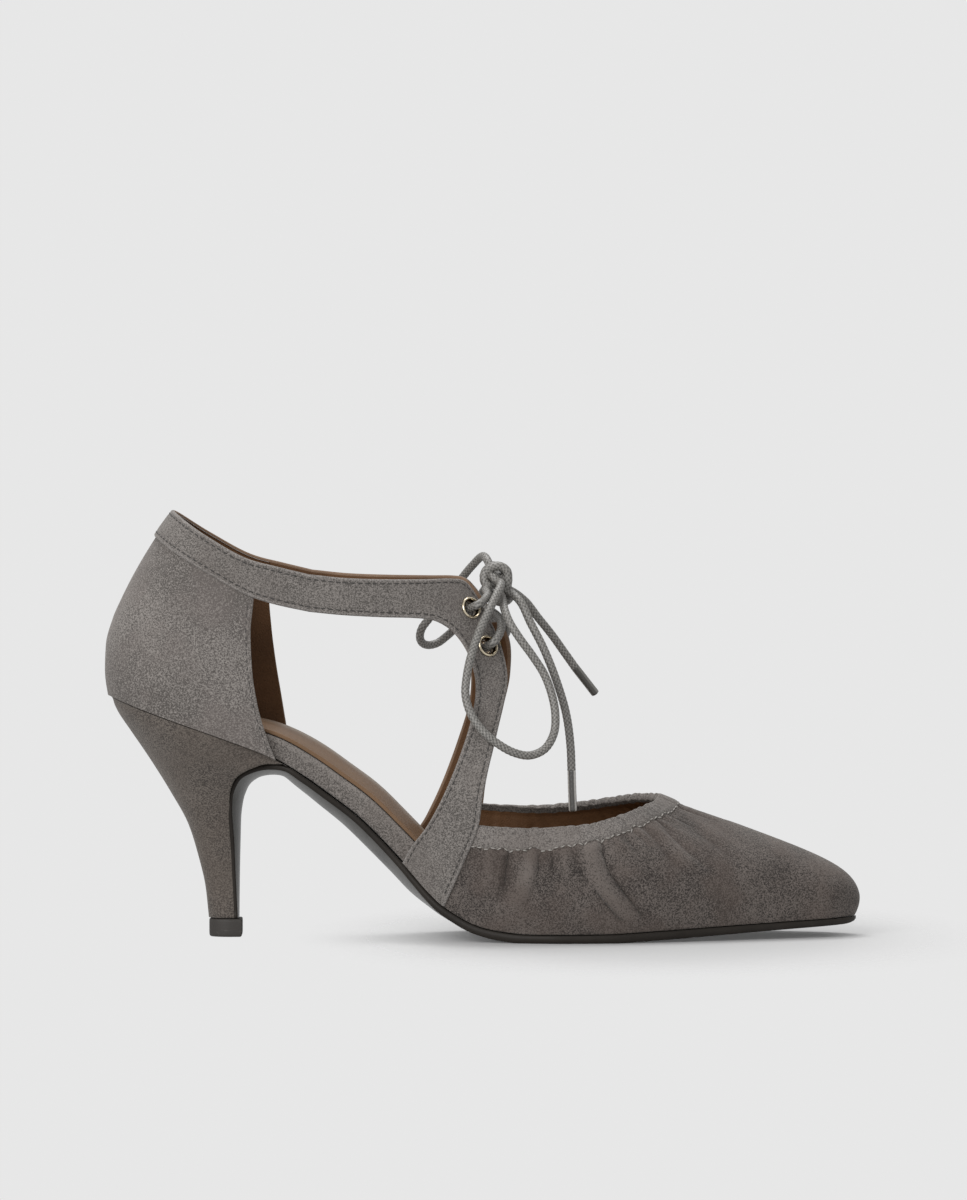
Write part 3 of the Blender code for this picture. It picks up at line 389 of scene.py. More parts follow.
    def wall_normal(self, side: float, x: Array, z: Array) -> Array:
        """Outward normal of the strap's wall, from its slopes along the shoe and up.

        Args:
            side: Minus one for the lateral side, plus one for the medial side.
            x: Places along the shoe.
            z: Heights.

        Returns:
            Unit vectors.
        """
        d = 0.5
        slope_x = (self.strap_y(side, x + d, z) - self.strap_y(side, x - d, z)) / (2 * d)
        slope_z = (self.strap_y(side, x, z + d) - self.strap_y(side, x, z - d)) / (2 * d)
        return unit(side * np.stack([-slope_x, np.ones_like(slope_x), -slope_z], axis=-1))

    def under_face(self, side: float, x: Array, z: Array) -> tuple[Array, Array]:
        """Places on the wall's inmost face under places on the strap's outer face.

        Found by repeated steps back along the normal, each damped by one half.

        Args:
            side: Minus one for the lateral side, plus one for the medial side.
            x: Places along the shoe on the outer face.
            z: Heights on the outer face.

        Returns:
            Places and heights on the inmost face.
        """
        depth = ramp(z, *self.face_heights) * ramp(x, *self.face_from) * self.strap_outer
        at_x, at_z = x, z
        for _ in range(self.face_steps):
            normal = self.wall_normal(side, at_x, at_z)
            at_x = 0.5 * (at_x + x - depth * normal[..., 0])
            at_z = 0.5 * (at_z + z - depth * normal[..., 2])
        return at_x, at_z

    def tab_frame(self, side: int, x: float, z: float) -> tuple[Array, Array]:
        """Centre on the tab's outer face and outward normal at an eyelet.

        Args:
            side: Minus one for the lateral side, plus one for the medial side.
            x: The eyelet's place along the shoe.
            z: Its height.

        Returns:
            The centre and the normal.
        """
        x, z = self.under_face(side, np.float64(x), np.float64(z))
        normal = self.wall_normal(side, x, z)
        return np.array([x, self.strap_y(side, x, z), z]) + normal * self.strap_outer, normal


@dataclass
class Patch:
    """Faces of four corners with their finish numbers, UVs and a crease value at each point."""

    points: Array
    quads: Array
    finish: Array
    uv: Array
    crease: Array

    @classmethod
    def grid(cls, points: Array, close_rows: bool = False, close_cols: bool = False,
             finish: int | Array = 0, uv: Array | None = None, crease: Array | None = None) -> Patch:
        """Faces between the neighbours of a grid of points.

        Args:
            points: Rows by columns by three.
            close_rows: Whether the last row joins the first.
            close_cols: Whether the last column joins the first.
            finish: One finish number, or one for each row of faces.
            uv: Rows by columns by two, with the closing line repeated, or none.
            crease: Rows by columns, or none.

        Returns:
            The patch.
        """
        rows, cols = points.shape[:2]
        i, j = np.meshgrid(np.arange(rows - (not close_rows)), np.arange(cols - (not close_cols)),
                           indexing="ij")
        k, m = (i + 1) % rows, (j + 1) % cols
        quads = np.stack([i * cols + j, i * cols + m, k * cols + m, k * cols + j], axis=-1).reshape(-1, 4)
        kinds = np.broadcast_to(np.asarray(finish).reshape(-1, 1), i.shape).reshape(-1)
        if uv is None:
            corners = np.zeros((len(quads), 4, 2))
        else:
            corners = np.stack([uv[i, j], uv[i, j + 1], uv[i + 1, j + 1], uv[i + 1, j]], axis=2)
            corners = corners.reshape(-1, 4, 2)
        worn = np.zeros(rows * cols) if crease is None else crease.reshape(-1)
        return cls(points.reshape(-1, 3), quads, kinds, corners, worn)

    def capped(self, *rings: Array, finish: int = 0) -> Patch:
        """The patch with closed rings filled by strips between each point and its mirror in the ring.

        Args:
            *rings: Point numbers of each ring, in order.
            finish: Finish number of the caps.

        Returns:
            The patch with its caps.
        """
        made = []
        for ring in rings:
            count = len(ring)
            a = np.arange(count // 2 - 1)
            made.append(np.stack([ring[a], ring[a + 1], ring[count - 2 - a], ring[count - 1 - a]], axis=1))
        caps = np.concatenate(made)
        ends = made[0]
        caps[: len(ends)] = ends[:, ::-1]
        return Patch(self.points, np.concatenate([self.quads, caps]),
                     np.concatenate([self.finish, np.full(len(caps), finish)]),
                     np.concatenate([self.uv, np.zeros((len(caps), 4, 2))]), self.crease)

    @classmethod
    def join(cls, patches: Sequence[Patch]) -> Patch:
        """Several patches as one, with their face numbers moved on.

        Args:
            patches: The patches, in order.

        Returns:
            One patch.
        """
        counts = np.cumsum([0] + [len(p.points) for p in patches[:-1]])
        return cls(np.concatenate([p.points for p in patches]),
                   np.concatenate([p.quads + n for p, n in zip(patches, counts)]),
                   np.concatenate([p.finish for p in patches]),
                   np.concatenate([p.uv for p in patches]),
                   np.concatenate([p.crease for p in patches]))

    def outward(self) -> Patch:
        """The patch with faces outwards, by the sign of the volume that its faces enclose.

        Returns:
            The same patch, or one with its faces turned over.
        """
        a, b, c, d = (self.points[self.quads[:, k]] for k in range(4))
        volume = np.sum(a * np.cross(b, c)) + np.sum(a * np.cross(c, d))
        if volume >= 0:
            return self
        return Patch(self.points, self.quads[:, ::-1], self.finish, self.uv[:, ::-1], self.crease)


@dataclass(frozen=True)
class Sheet:
    """A panel's inmost face as a grid, with its outward normals and the way across each column."""

    grid: Array
    normal: Array
    way: Array

    @classmethod
    def of(cls, grid: Array, inside: Sequence[float]) -> Sheet:
        """A sheet whose normals, crosses of its two slopes, point away from a place inside.

        Args:
            grid: Places, rows by columns.
            inside: A place on the inner side.

        Returns:
            The sheet.
        """
        normal = unit(np.cross(np.gradient(grid, axis=0), np.gradient(grid, axis=1)))
        if np.mean(np.sum(normal * (grid - np.array(inside)), axis=-1)) < 0:
            normal = -normal
        drop = np.linalg.norm(np.diff(grid, axis=0), axis=-1)
        way = np.concatenate([np.zeros((1, grid.shape[1])), np.cumsum(drop, axis=0)])
        return cls(grid, normal, way)

    @property
    def width(self) -> Array:
        """Length across each column."""
        return self.way[-1]

    def share_at(self, reach: Array) -> Array:
        """Share of the rows at which each column has run a given length, rows by columns.

        Args:
            reach: Lengths from the first row, rows by columns.

        Returns:
            Shares, 0 at the first row and 1 at the last.
        """
        rows = len(self.grid)
        low = np.sum(self.way[None, 1:-1] <= reach[:, None, :], axis=1)
        col = np.arange(self.grid.shape[1])[None, :]
        step = self.way[low + 1, col] - self.way[low, col]
        return (low + (reach - self.way[low, col]) / np.maximum(step, 1e-9)) / (rows - 1)

    def at(self, share: Array, depth: Array | float) -> Array:
        """Points at shares of each column, moved out along the normals.

        Args:
            share: Any rows by the sheet's columns, from 0 to 1 across the sheet.
            depth: Distance outwards, of the same shape or one number.

        Returns:
            Points, rows by columns by three.
        """
        rows = len(self.grid)
        place = np.clip(share, 0.0, 1.0) * (rows - 1)
        low = np.minimum(place.astype(int), rows - 2)
        part = (place - low)[..., None]
        col = np.arange(self.grid.shape[1])[None, :]
        point = self.grid[low, col] * (1 - part) + self.grid[low + 1, col] * part
        normal = unit(self.normal[low, col] * (1 - part) + self.normal[low + 1, col] * part)
        return point + normal * np.broadcast_to(depth, share.shape)[..., None]

    def line_at(self, share: Array, depth: float) -> tuple[Array, Array]:
        """A line along the sheet at one row of shares, and its outward vectors."""
        return self.at(share, depth)[0], self.at(share, 1.0)[0] - self.at(share, 0.0)[0]

    def edge_stitches(self, inset: float, depth: float, shown: slice) -> Patch:
        """A stitch row along each edge of the sheet.

        Args:
            inset: Length in from the edges.
            depth: Distance outwards of the thread's middle.
            shown: The columns that are stitched.

        Returns:
            Both rows as one patch.
        """
        rows = []
        for reach in (np.full_like(self.width, inset), self.width - inset):
            line, out = self.line_at(self.share_at(reach[None, :]), depth)
            rows.append(Stitches().row(line[shown], out[shown]))
        return Patch.join(rows)

    def band(self, outer: float, inner: float, faces: int, rim: int,
             groove: Callable[[Array], Array] | None = None) -> tuple[Array, Array, Array]:
        """Closed profile round a band of even thickness, with half-round edges.

        The outer face runs from one edge to the other, a half circle turns over the edge, the inner
        face runs back, and a half circle closes it.

        Args:
            outer: Depth of the outer face.
            inner: Depth of the inner face.
            faces: Points across each face.
            rim: Points over each edge.
            groove: What to take from the outer face at lengths from its nearer edge, or none.

        Returns:
            Shares and depths, profile points by columns, and the finish number of each row of faces:
            0 outside, 1 on the outer half of each edge, 2 inside, 3 on the inner half of each edge.
        """
        radius = (outer - inner) / 2
        edge = radius / self.width[None, :]
        across = np.linspace(0.0, 1.0, faces)[:, None]
        turn = np.linspace(math.pi / 2, -math.pi / 2, rim + 2)[1:-1, None]
        flat = edge + (1 - 2 * edge) * across
        far = 1 - edge + edge * np.cos(turn)
        shares = np.concatenate([flat, far, flat[::-1], 1 - far[::-1]])
        top = np.full_like(flat, outer)
        if groove is not None:
            top = top - groove(np.minimum(flat, 1 - flat) * self.width)
        curl = (outer + inner) / 2 + radius * np.sin(turn) + 0.0 * edge
        depths = np.concatenate([top, curl, np.full_like(flat, inner), curl[::-1]])
        outer_rim = (rim + 1) // 2
        inner_rim = rim + 1 - outer_rim
        counts = (faces - 1, outer_rim, inner_rim, faces - 1, inner_rim, outer_rim)
        kinds = np.repeat([0, 1, 3, 2, 3, 1], counts)
        return shares, depths, kinds

    def wall(self, shares: Array, depths: Array, kinds: Array, form: Form,
             crease: Array | None = None) -> Patch:
        """Closed wall from a profile carried along the columns, capped at both ends.

        Args:
            shares: Shares of the rows round the profile, by columns.
            depths: Distances outwards, in the same order.
            kinds: Finish number of each profile row.
            form: The shoe's form, which keeps the wall above the sole.
            crease: Crease values of the points, if any.

        Returns:
            The closed wall.
        """
        points = form.above_sole(self.at(shares, depths))
        rows, cols = shares.shape
        ring = np.arange(rows) * cols
        patch = Patch.grid(points, close_rows=True, finish=kinds, crease=crease)
        return patch.capped(ring, ring + cols - 1, finish=1).outward()


class Wire:
    """A shader socket that takes part in Python sums by adding Math nodes."""

    def __init__(self, recipe: Recipe, socket: bpy.types.NodeSocket) -> None:
        """Keeps the socket and the recipe that it belongs to."""
        self.recipe = recipe
        self.socket = socket

    def _sum(self, operation: str, first: Wire | float, second: Wire | float) -> Wire:
        """One Math node on two values."""
        return self.recipe.node("ShaderNodeMath", {"operation": operation}, {0: first, 1: second})

    def __add__(self, other: Wire | float) -> Wire:
        """Sum."""
        return self._sum("ADD", self, other)

    __radd__ = __add__

    def __mul__(self, other: Wire | float) -> Wire:
        """Product."""
        return self._sum("MULTIPLY", self, other)

    __rmul__ = __mul__

    def __sub__(self, other: Wire | float) -> Wire:
        """Difference."""
        return self._sum("SUBTRACT", self, other)

    def __rsub__(self, other: Wire | float) -> Wire:
        """Difference from a number."""
        return self._sum("SUBTRACT", other, self)

    def __truediv__(self, other: Wire | float) -> Wire:
        """Quotient."""
        return self._sum("DIVIDE", self, other)

    def __pow__(self, other: Wire | float) -> Wire:
        """Power."""
        return self._sum("POWER", self, other)

    def between(self, low: float, high: float) -> Wire:
        """Soft step from 0 at low to 1 at high."""
        return self.recipe.node("ShaderNodeMapRange", {"interpolation_type": "SMOOTHSTEP"},
                                {"Value": self, "From Min": low, "From Max": high})


class Recipe:
    """One material's node tree and the few moves that its finish is written with."""

    def __init__(self, name: str) -> None:
        """Starts a material with its Principled shader.

        Args:
            name: The material's name.
        """
        self.material = bpy.data.materials.new(name)
        self.material.use_nodes = True
        self.tree = self.material.node_tree
        self.shader = self.tree.nodes["Principled BSDF"]

    def join(self, socket: bpy.types.NodeSocket, value: Any) -> None:
        """Links a wire to a socket, or sets the socket's own value.

        Args:
            socket: The socket to feed.
            value: A wire or a plain value.
        """
        if isinstance(value, Wire):
            self.tree.links.new(value.socket, socket)
        else:
            socket.default_value = value

    def node(self, kind: str, settings: dict[str, Any] | None = None,
             sockets: dict[str | int, Any] | None = None, out: str | int = 0) -> Wire:
        """Any node: its settings are set first, then the values or links of its sockets.

        Args:
            kind: The node's type.
            settings: Its own properties.
            sockets: Values or wires by socket name or number.
            out: The output that is wanted.

        Returns:
            That output.
        """
        made = self.tree.nodes.new(kind)
        for key, value in (settings or {}).items():
            setattr(made, key, value)
        for key, value in (sockets or {}).items():
            self.join(made.inputs[key], value)
        return Wire(self, made.outputs[out])

    def place(self, turn: Colour = (0.0, 0.0, 0.0), scale: Colour = (1.0, 1.0, 1.0)) -> Wire:
        """Object coordinates, turned and stretched."""
        where = self.node("ShaderNodeTexCoord", out="Object")
        return self.node("ShaderNodeMapping", {}, {"Vector": where, "Rotation": turn, "Scale": scale})

    def crease(self) -> Wire:
        """The crease value that the mesh carries at its points; on suede and the sock it carries painted
        shade and painted light.
        """
        return self.node("ShaderNodeAttribute", {"attribute_name": "crease"}, out="Fac")

    def noise(self, where: Wire, scale: float, detail: float = 2.0, rough: float = 0.5) -> Wire:
        """Cloudy noise about one half, scale in clouds per metre."""
        return self.node("ShaderNodeTexNoise", {},
                         {"Vector": where, "Scale": scale, "Detail": detail, "Roughness": rough})

    def mix(self, share: Wire | float, first: Wire | Colour, second: Wire | Colour) -> Wire:
        """One colour going over to another."""
        ends = [c if isinstance(c, Wire) else (*c, 1.0) for c in (first, second)]
        return self.node("ShaderNodeMix", {"data_type": "RGBA"}, {0: share, 6: ends[0], 7: ends[1]}, 2)

    def bump(self, height: Wire, distance: float, strength: float = 1.0) -> Wire:
        """Normal of a fine relief, distance in metres."""
        return self.node("ShaderNodeBump", {},
                         {"Height": height, "Distance": distance, "Strength": strength})

    def dress(self, **sockets: Any) -> bpy.types.Material:
        """Sets or links the Principled shader's sockets, named with underscores for spaces.

        Args:
            **sockets: Wires or plain values, by socket.

        Returns:
            The material.
        """
        for key, value in sockets.items():
            self.join(self.shader.inputs[key.replace("_", " ")], value)
        return self.material


@dataclass(frozen=True)
class Suede:
    """Brushed suede: fine nap grain, brushed streaks and soft mottling."""

    name: str
    light: Colour
    dark: Colour
    tint: Colour
    tint_share: float = 0.35
    mottle: float = 0.45
    streak: float = 0.2
    turn: Colour = (0.0, 0.5, 0.0)
    grain: float = 2.0
    relief: float = 0.00025
    fine_scale: float = 3400.0
    coarse_scale: float = 1900.0
    streak_scale: float = 640.0
    cloud_scale: float = 75.0
    blush_scale: float = 60.0

    def material(self) -> bpy.types.Material:
        """Grain of two sizes, streaks along the nap, clouds and the mesh's crease value share out dark, light
        and tint.

        Returns:
            The material.
        """
        r = Recipe(self.name)
        where = r.place()
        brushed = r.place(self.turn, (1.0, 1.0, 0.28))
        fine = r.noise(where, self.fine_scale, 1.0, 0.5)
        coarse = r.noise(where, self.coarse_scale, 1.0, 0.5)
        streaks = r.noise(brushed, self.streak_scale, 3.0, 0.6)
        clouds = r.noise(where, self.cloud_scale, 3.0, 0.6)
        crease = r.crease()
        # The crease value is added to the shade: on the vamp, counter and board it is painted shade or
        # painted light.
        shade = (0.5 + (fine - 0.5) * self.grain + (coarse - 0.5) * self.grain
                 + (streaks - 0.5) * self.streak + (clouds - 0.5) * self.mottle + crease)
        cloth = r.mix(shade.between(0.0, 1.0), self.dark, self.light)
        blush = r.noise(where, self.blush_scale, 2.0, 0.5).between(0.42, 0.66) * self.tint_share
        height = fine * 0.5 + coarse * 0.8 + streaks * 0.4
        return r.dress(
            Base_Color=r.mix(blush, cloth, self.tint),
            Roughness=0.9 + (coarse - 0.5) * 0.2,
            Normal=r.bump(height, self.relief),
            Specular_IOR_Level=0.18, Sheen_Weight=0.22, Sheen_Roughness=0.45,
            Sheen_Tint=(0.95, 0.92, 0.88, 1.0))


@dataclass(frozen=True)
class Leather:
    """Smooth leather: pores, faint grain and uneven dye."""

    name: str
    colour: Colour
    worn: Colour
    rough: float = 0.55
    coat: float = 0.0
    pores: float = 1500.0
    relief: float = 0.00012
    gloss: float = 0.2
    # Paler tone for a painted sheen where the crease value rises, or none.
    painted_sheen: Colour | None = None

    def material(self) -> bpy.types.Material:
        """Pores from cells, grain from noise, and dye that goes from the colour to its worn tone.

        A leather with a painted sheen goes over to that paler tone where the mesh's crease value says so.

        Returns:
            The material.
        """
        r = Recipe(self.name)
        where = r.place()
        cells = r.node("ShaderNodeTexVoronoi", {"feature": "F1"}, {"Vector": where, "Scale": self.pores})
        grain = r.noise(where, self.pores * 1.7, 3.0, 0.6)
        dye = r.noise(where, 70.0, 4.0, 0.6)
        shade = (dye - 0.5) * 1.1 + (grain - 0.5) * 0.6 + 0.5
        height = cells.between(0.0, 0.55) * 0.7 + grain * 0.3
        dyed = r.mix(shade.between(0.1, 0.9), self.colour, self.worn)
        if self.painted_sheen is not None:
            dyed = r.mix(r.crease(), dyed, self.painted_sheen)
        return r.dress(
            Base_Color=dyed,
            Roughness=self.rough + (grain - 0.5) * 0.25,
            Coat_Weight=self.coat * dye.between(0.2, 0.6),
            Normal=r.bump(height, self.relief), Coat_Roughness=0.18, Specular_IOR_Level=self.gloss)


@dataclass(frozen=True)
class Rubber:
    """Matt rubber with fine scuffs."""

    name: str
    colour: Colour
    scuff: Colour

    def material(self) -> bpy.types.Material:
        """Fine grain and long scratches that lighten the colour.

        Returns:
            The material.
        """
        r = Recipe(self.name)
        grain = r.noise(r.place(), 1800.0, 3.0, 0.6)
        scratch = r.noise(r.place((0.0, 0.0, 0.4), (0.2, 1.0, 1.0)), 1500.0, 2.0).between(0.6, 0.75)
        return r.dress(
            Base_Color=r.mix(scratch * 0.5 + (grain - 0.5) * 0.4, self.colour, self.scuff),
            Roughness=0.62 + (grain - 0.5) * 0.3, Normal=r.bump(grain, 0.00008))


@dataclass(frozen=True)
class Metal:
    """Pale plated metal, brushed round and a little dulled."""

    name: str
    colour: Colour
    dull: Colour

    def material(self) -> bpy.types.Material:
        """Fine scratches in the gloss and a dull bloom in the colour.

        Returns:
            The material.
        """
        r = Recipe(self.name)
        fine = r.noise(r.place(), 3500.0, 3.0)
        bloom = r.noise(r.place(), 600.0, 2.0).between(0.35, 0.75)
        return r.dress(
            Base_Color=r.mix(bloom * 0.6, self.colour, self.dull), Metallic=1.0,
            Roughness=0.16 + (fine - 0.5) * 0.14 + bloom * 0.08, Normal=r.bump(fine, 0.000006))


@dataclass(frozen=True)
class Waxed:
    """Waxed round braid, or the clear wrap over its end: strands show in relief and in painted shade."""

    name: str
    light: Colour
    dark: Colour
    rough: float = 0.5
    coat: float = 0.15
    fibre: float = 0.9
    # Count of painted highlight lines round a clear wrap, or none.
    lines: float = 0.0

    def material(self) -> bpy.types.Material:
        """Strand relief comes with the mesh as its crease value and is also painted into the colour, darker
        in the gaps between strands; fibres are noise stretched along.

        A clear wrap shows lengthwise lines instead of strands: painted highlights, a sine of the way round.

        Returns:
            The material.
        """
        r = Recipe(self.name)
        uv = r.node("ShaderNodeUVMap", {"uv_map": "way"})
        fibres = r.noise(r.node("ShaderNodeMapping", {}, {"Vector": uv, "Scale": (60.0, 0.9, 1.0)}), 1.0, 2.0)
        fleck = r.noise(r.place(), 2400.0, 2.0, 0.6)
        strand = r.crease()
        if self.lines:
            around = r.node("ShaderNodeSeparateXYZ", {}, {0: uv})
            wave = r.node("ShaderNodeMath", {"operation": "SINE"}, {0: around * (2 * math.pi * self.lines)})
            strand = wave.between(-0.2, 1.0)
        # Painted shade between strands, or the painted highlight lines of a wrap, set the colour with the
        # fibres.
        shade = strand + (fibres - 0.5) * self.fibre + (fleck - 0.5) * self.fibre
        return r.dress(
            Base_Color=r.mix(shade.between(0.0, 1.0), self.dark, self.light),
            Roughness=self.rough + (fleck - 0.5) * 0.2, Normal=r.bump(fibres + fleck, 0.00006),
            Coat_Weight=self.coat, Coat_Roughness=0.3)


@dataclass(frozen=True)
class PaleFloor:
    """Pale studio floor with a painted shadow about the shoe, fading out into the backdrop with distance."""

    name: str
    colour: Colour
    middle: Colour
    reach: Colour
    body: float = 0.9
    # Share of the colour left at the middle of the painted shadow.
    dim: float = 0.78

    def material(self) -> bpy.types.Material:
        """Faint clouds in the paint and a painted shadow, dimmer at the middle; alpha falls to 0 over an oval
        about it.

        Returns:
            The material.
        """
        r = Recipe(self.name)
        where = r.place()
        from_middle = r.node("ShaderNodeVectorMath", {"operation": "SUBTRACT"}, {0: where, 1: self.middle})
        oval = r.node("ShaderNodeVectorMath", {"operation": "DIVIDE"}, {0: from_middle, 1: self.reach})
        away = r.node("ShaderNodeVectorMath", {"operation": "LENGTH"}, {0: oval}, "Value")
        paint = r.noise(where, 14.0, 2.0)
        # Painted shadow: the colour dimmed towards the oval's middle.
        shade = tuple(self.dim * c for c in self.colour)
        return r.dress(
            Base_Color=r.mix(away.between(0.0, 0.85) - (1.0 - paint) * 0.07, shade, self.colour),
            Roughness=0.6 + (paint - 0.5) * 0.1,
            Alpha=self.body * (1.0 - away.between(0.45, 1.0)), Specular_IOR_Level=0.1)


class Workshop:
    """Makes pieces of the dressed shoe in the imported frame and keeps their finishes."""

    def __init__(self, shift: Array) -> None:
        """Keeps where the shoe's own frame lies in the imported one, in metres."""
        self.shift = shift
        self.stock: dict[str, bpy.types.Material] = {}

    def finish(self, finish: Any) -> bpy.types.Material:
        """The material of a finish, made once.

        Args:
            finish: One of the finishes.

        Returns:
            Its material.
        """
        if finish.name not in self.stock:
            self.stock[finish.name] = finish.material()
        return self.stock[finish.name]

    def metres(self, points: Array) -> Array:
        """Points of the shoe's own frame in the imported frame."""
        return np.asarray(points, float) * MM + self.shift

    def mesh(self, name: str, patch: Patch, finishes: Sequence[Any]) -> bpy.types.Object:
        """A smooth mesh object at the origin from a patch.

        Args:
            name: The piece's name.
            patch: Its faces.
            finishes: Its finishes by number.

        Returns:
            The object, linked to the scene.
        """
        data = bpy.data.meshes.new(name)
        data.from_pydata(self.metres(patch.points).tolist(), [], patch.quads.tolist())
        data.uv_layers.new(name="way").data.foreach_set("uv", patch.uv.astype(np.float32).ravel())
        data.attributes.new("crease", "FLOAT", "POINT").data.foreach_set(
            "value", patch.crease.astype(np.float32))
        data.polygons.foreach_set("material_index", patch.finish.astype(np.int32))
        data.update()
        data.shade_smooth()
        for finish in finishes:
            data.materials.append(self.finish(finish))
        obj = bpy.data.objects.new(name, data)
        bpy.context.scene.collection.objects.link(obj)
        return obj

    def piece(self, name: str, patch: Patch, finishes: Sequence[Any],
              nodes: Sequence[str] = ()) -> bpy.types.Object:
        """A piece that rides on the shoe and stands for CAD nodes.

        Args:
            name: The piece's name.
            patch: Its shape.
            finishes: Its finishes, by number.
            nodes: CAD nodes that it stands for.

        Returns:
            The object.
        """
        obj = self.mesh(name, patch, finishes)
        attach(obj, "root")
        if nodes:
            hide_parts(*nodes)
        log.info("%s: %d faces", name, len(obj.data.polygons))
        return obj

    def bored(self, obj: bpy.types.Object, cutters: Sequence[Patch]) -> None:
        """Cuts closed shapes out of a piece and keeps the result as its mesh.

        Args:
            obj: The piece.
            cutters: The closed shapes.
        """
        cutter = self.mesh(obj.name + "_cutter", Patch.join(cutters), ())
        cut = obj.modifiers.new("holes", "BOOLEAN")
        cut.object, cut.operation, cut.solver = cutter, "DIFFERENCE", "EXACT"
        graph = bpy.context.evaluated_depsgraph_get()
        made = bpy.data.meshes.new_from_object(obj.evaluated_get(graph), depsgraph=graph)
        obj.modifiers.clear()
        made.name = obj.name
        obj.data = made
        bpy.data.objects.remove(cutter, do_unlink=True)


# The shoe's finishes.
GREY = Suede("grey suede", (0.318, 0.291, 0.271), (0.102, 0.092, 0.085), (0.20, 0.172, 0.16), 0.35)
STRAP_GREY = Suede("strap suede", (0.276, 0.253, 0.235), (0.087, 0.079, 0.073), (0.17, 0.148, 0.136), 0.3,
                   0.4, 0.2, (0.0, -0.4, 0.0))
EDGE_GREY = Suede("turned suede edge", (0.33, 0.305, 0.287), (0.13, 0.119, 0.111), (0.23, 0.208, 0.192), 0.2)
VAMP_GREY = Suede("gathered suede", (0.168, 0.144, 0.130), (0.036, 0.031, 0.028), (0.108, 0.083, 0.071),
                  0.45, 0.85, 0.4, (0.0, 0.9, 0.3))
# Darker copy of the casing suede for the turned-in inner edge of the casing: painted shade.
CASING_PAINTED_SHADE = Suede("casing inside painted shade", (0.13, 0.116, 0.106), (0.04, 0.036, 0.032), (0.09, 0.077, 0.069), 0.3)
CASING_GREY = Suede("casing suede", (0.270, 0.246, 0.229), (0.086, 0.078, 0.072), (0.19, 0.163, 0.147), 0.3)
HEEL_GREY = Suede("heel suede", (0.192, 0.166, 0.145), (0.056, 0.048, 0.043), (0.13, 0.107, 0.09), 0.35,
                  0.5, 0.25, (0.0, 0.2, 0.0))
WRAP_GREY = Suede("footbed suede", (0.265, 0.24, 0.222), (0.088, 0.079, 0.072), (0.18, 0.155, 0.14), 0.25)
LINING = Leather("brown lining", (0.150, 0.075, 0.034), (0.094, 0.046, 0.021), 0.6)
LINING_EDGE = Leather("lining edge", (0.25, 0.165, 0.11), (0.17, 0.106, 0.068), 0.6)
# The sock's paler tone along its medial edge at the waist is a painted sheen.
SOCK = Leather("sock leather", (0.222, 0.136, 0.080), (0.170, 0.103, 0.060), 0.5, 0.05, 1900.0,
               0.00008, 0.12, (0.33, 0.275, 0.225))
SOLE = Leather("dark sole leather", (0.048, 0.047, 0.042), (0.075, 0.072, 0.065), 0.36, 0.35, 900.0,
               0.00005, 0.5)
SOLE_EDGE = Leather("inked sole edge", (0.018, 0.0148, 0.0122), (0.030, 0.0248, 0.0203), 0.6, 0.04, 900.0,
                    0.00005, 0.2)
TOP_RUBBER = Rubber("black top piece", (0.040, 0.035, 0.031), (0.09, 0.08, 0.072))
GOLD = Metal("pale gold", (0.95, 0.84, 0.64), (0.72, 0.6, 0.42))
# Dark copy of the gold for the inside of each barrel: painted shade.
GOLD_PAINTED_SHADE = Metal("barrel painted shade", (0.16, 0.13, 0.09), (0.07, 0.055, 0.04))
LACE = Waxed("waxed lace", (0.315, 0.302, 0.280), (0.085, 0.081, 0.075), 0.45, 0.2, 1.3)
# The tip wrap's lengthwise pale lines are painted highlights.
TIP = Waxed("lace tip wrap", (0.56, 0.54, 0.51), (0.08, 0.075, 0.07), 0.12, 0.8, 0.5, 3.0)
# Darker copy of the tip wrap for the short tip: painted shade.
PAINTED_SHADE_TIP = Waxed("tip wrap painted shade", (0.19, 0.182, 0.167), (0.07, 0.066, 0.06), 0.4, 0.25, 0.8, 3.0)
DARK_THREAD = Waxed("dark thread", (0.075, 0.07, 0.066), (0.025, 0.023, 0.022), 0.6, 0.0, 0.4)
PALE_THREAD = Waxed("pale thread", (0.52, 0.49, 0.455), (0.26, 0.245, 0.225), 0.65, 0.0, 0.4)
FLOOR = PaleFloor("pale floor", (0.69, 0.69, 0.69), (0.055, 0.0, 0.0), (0.12, 0.2, 1.0))


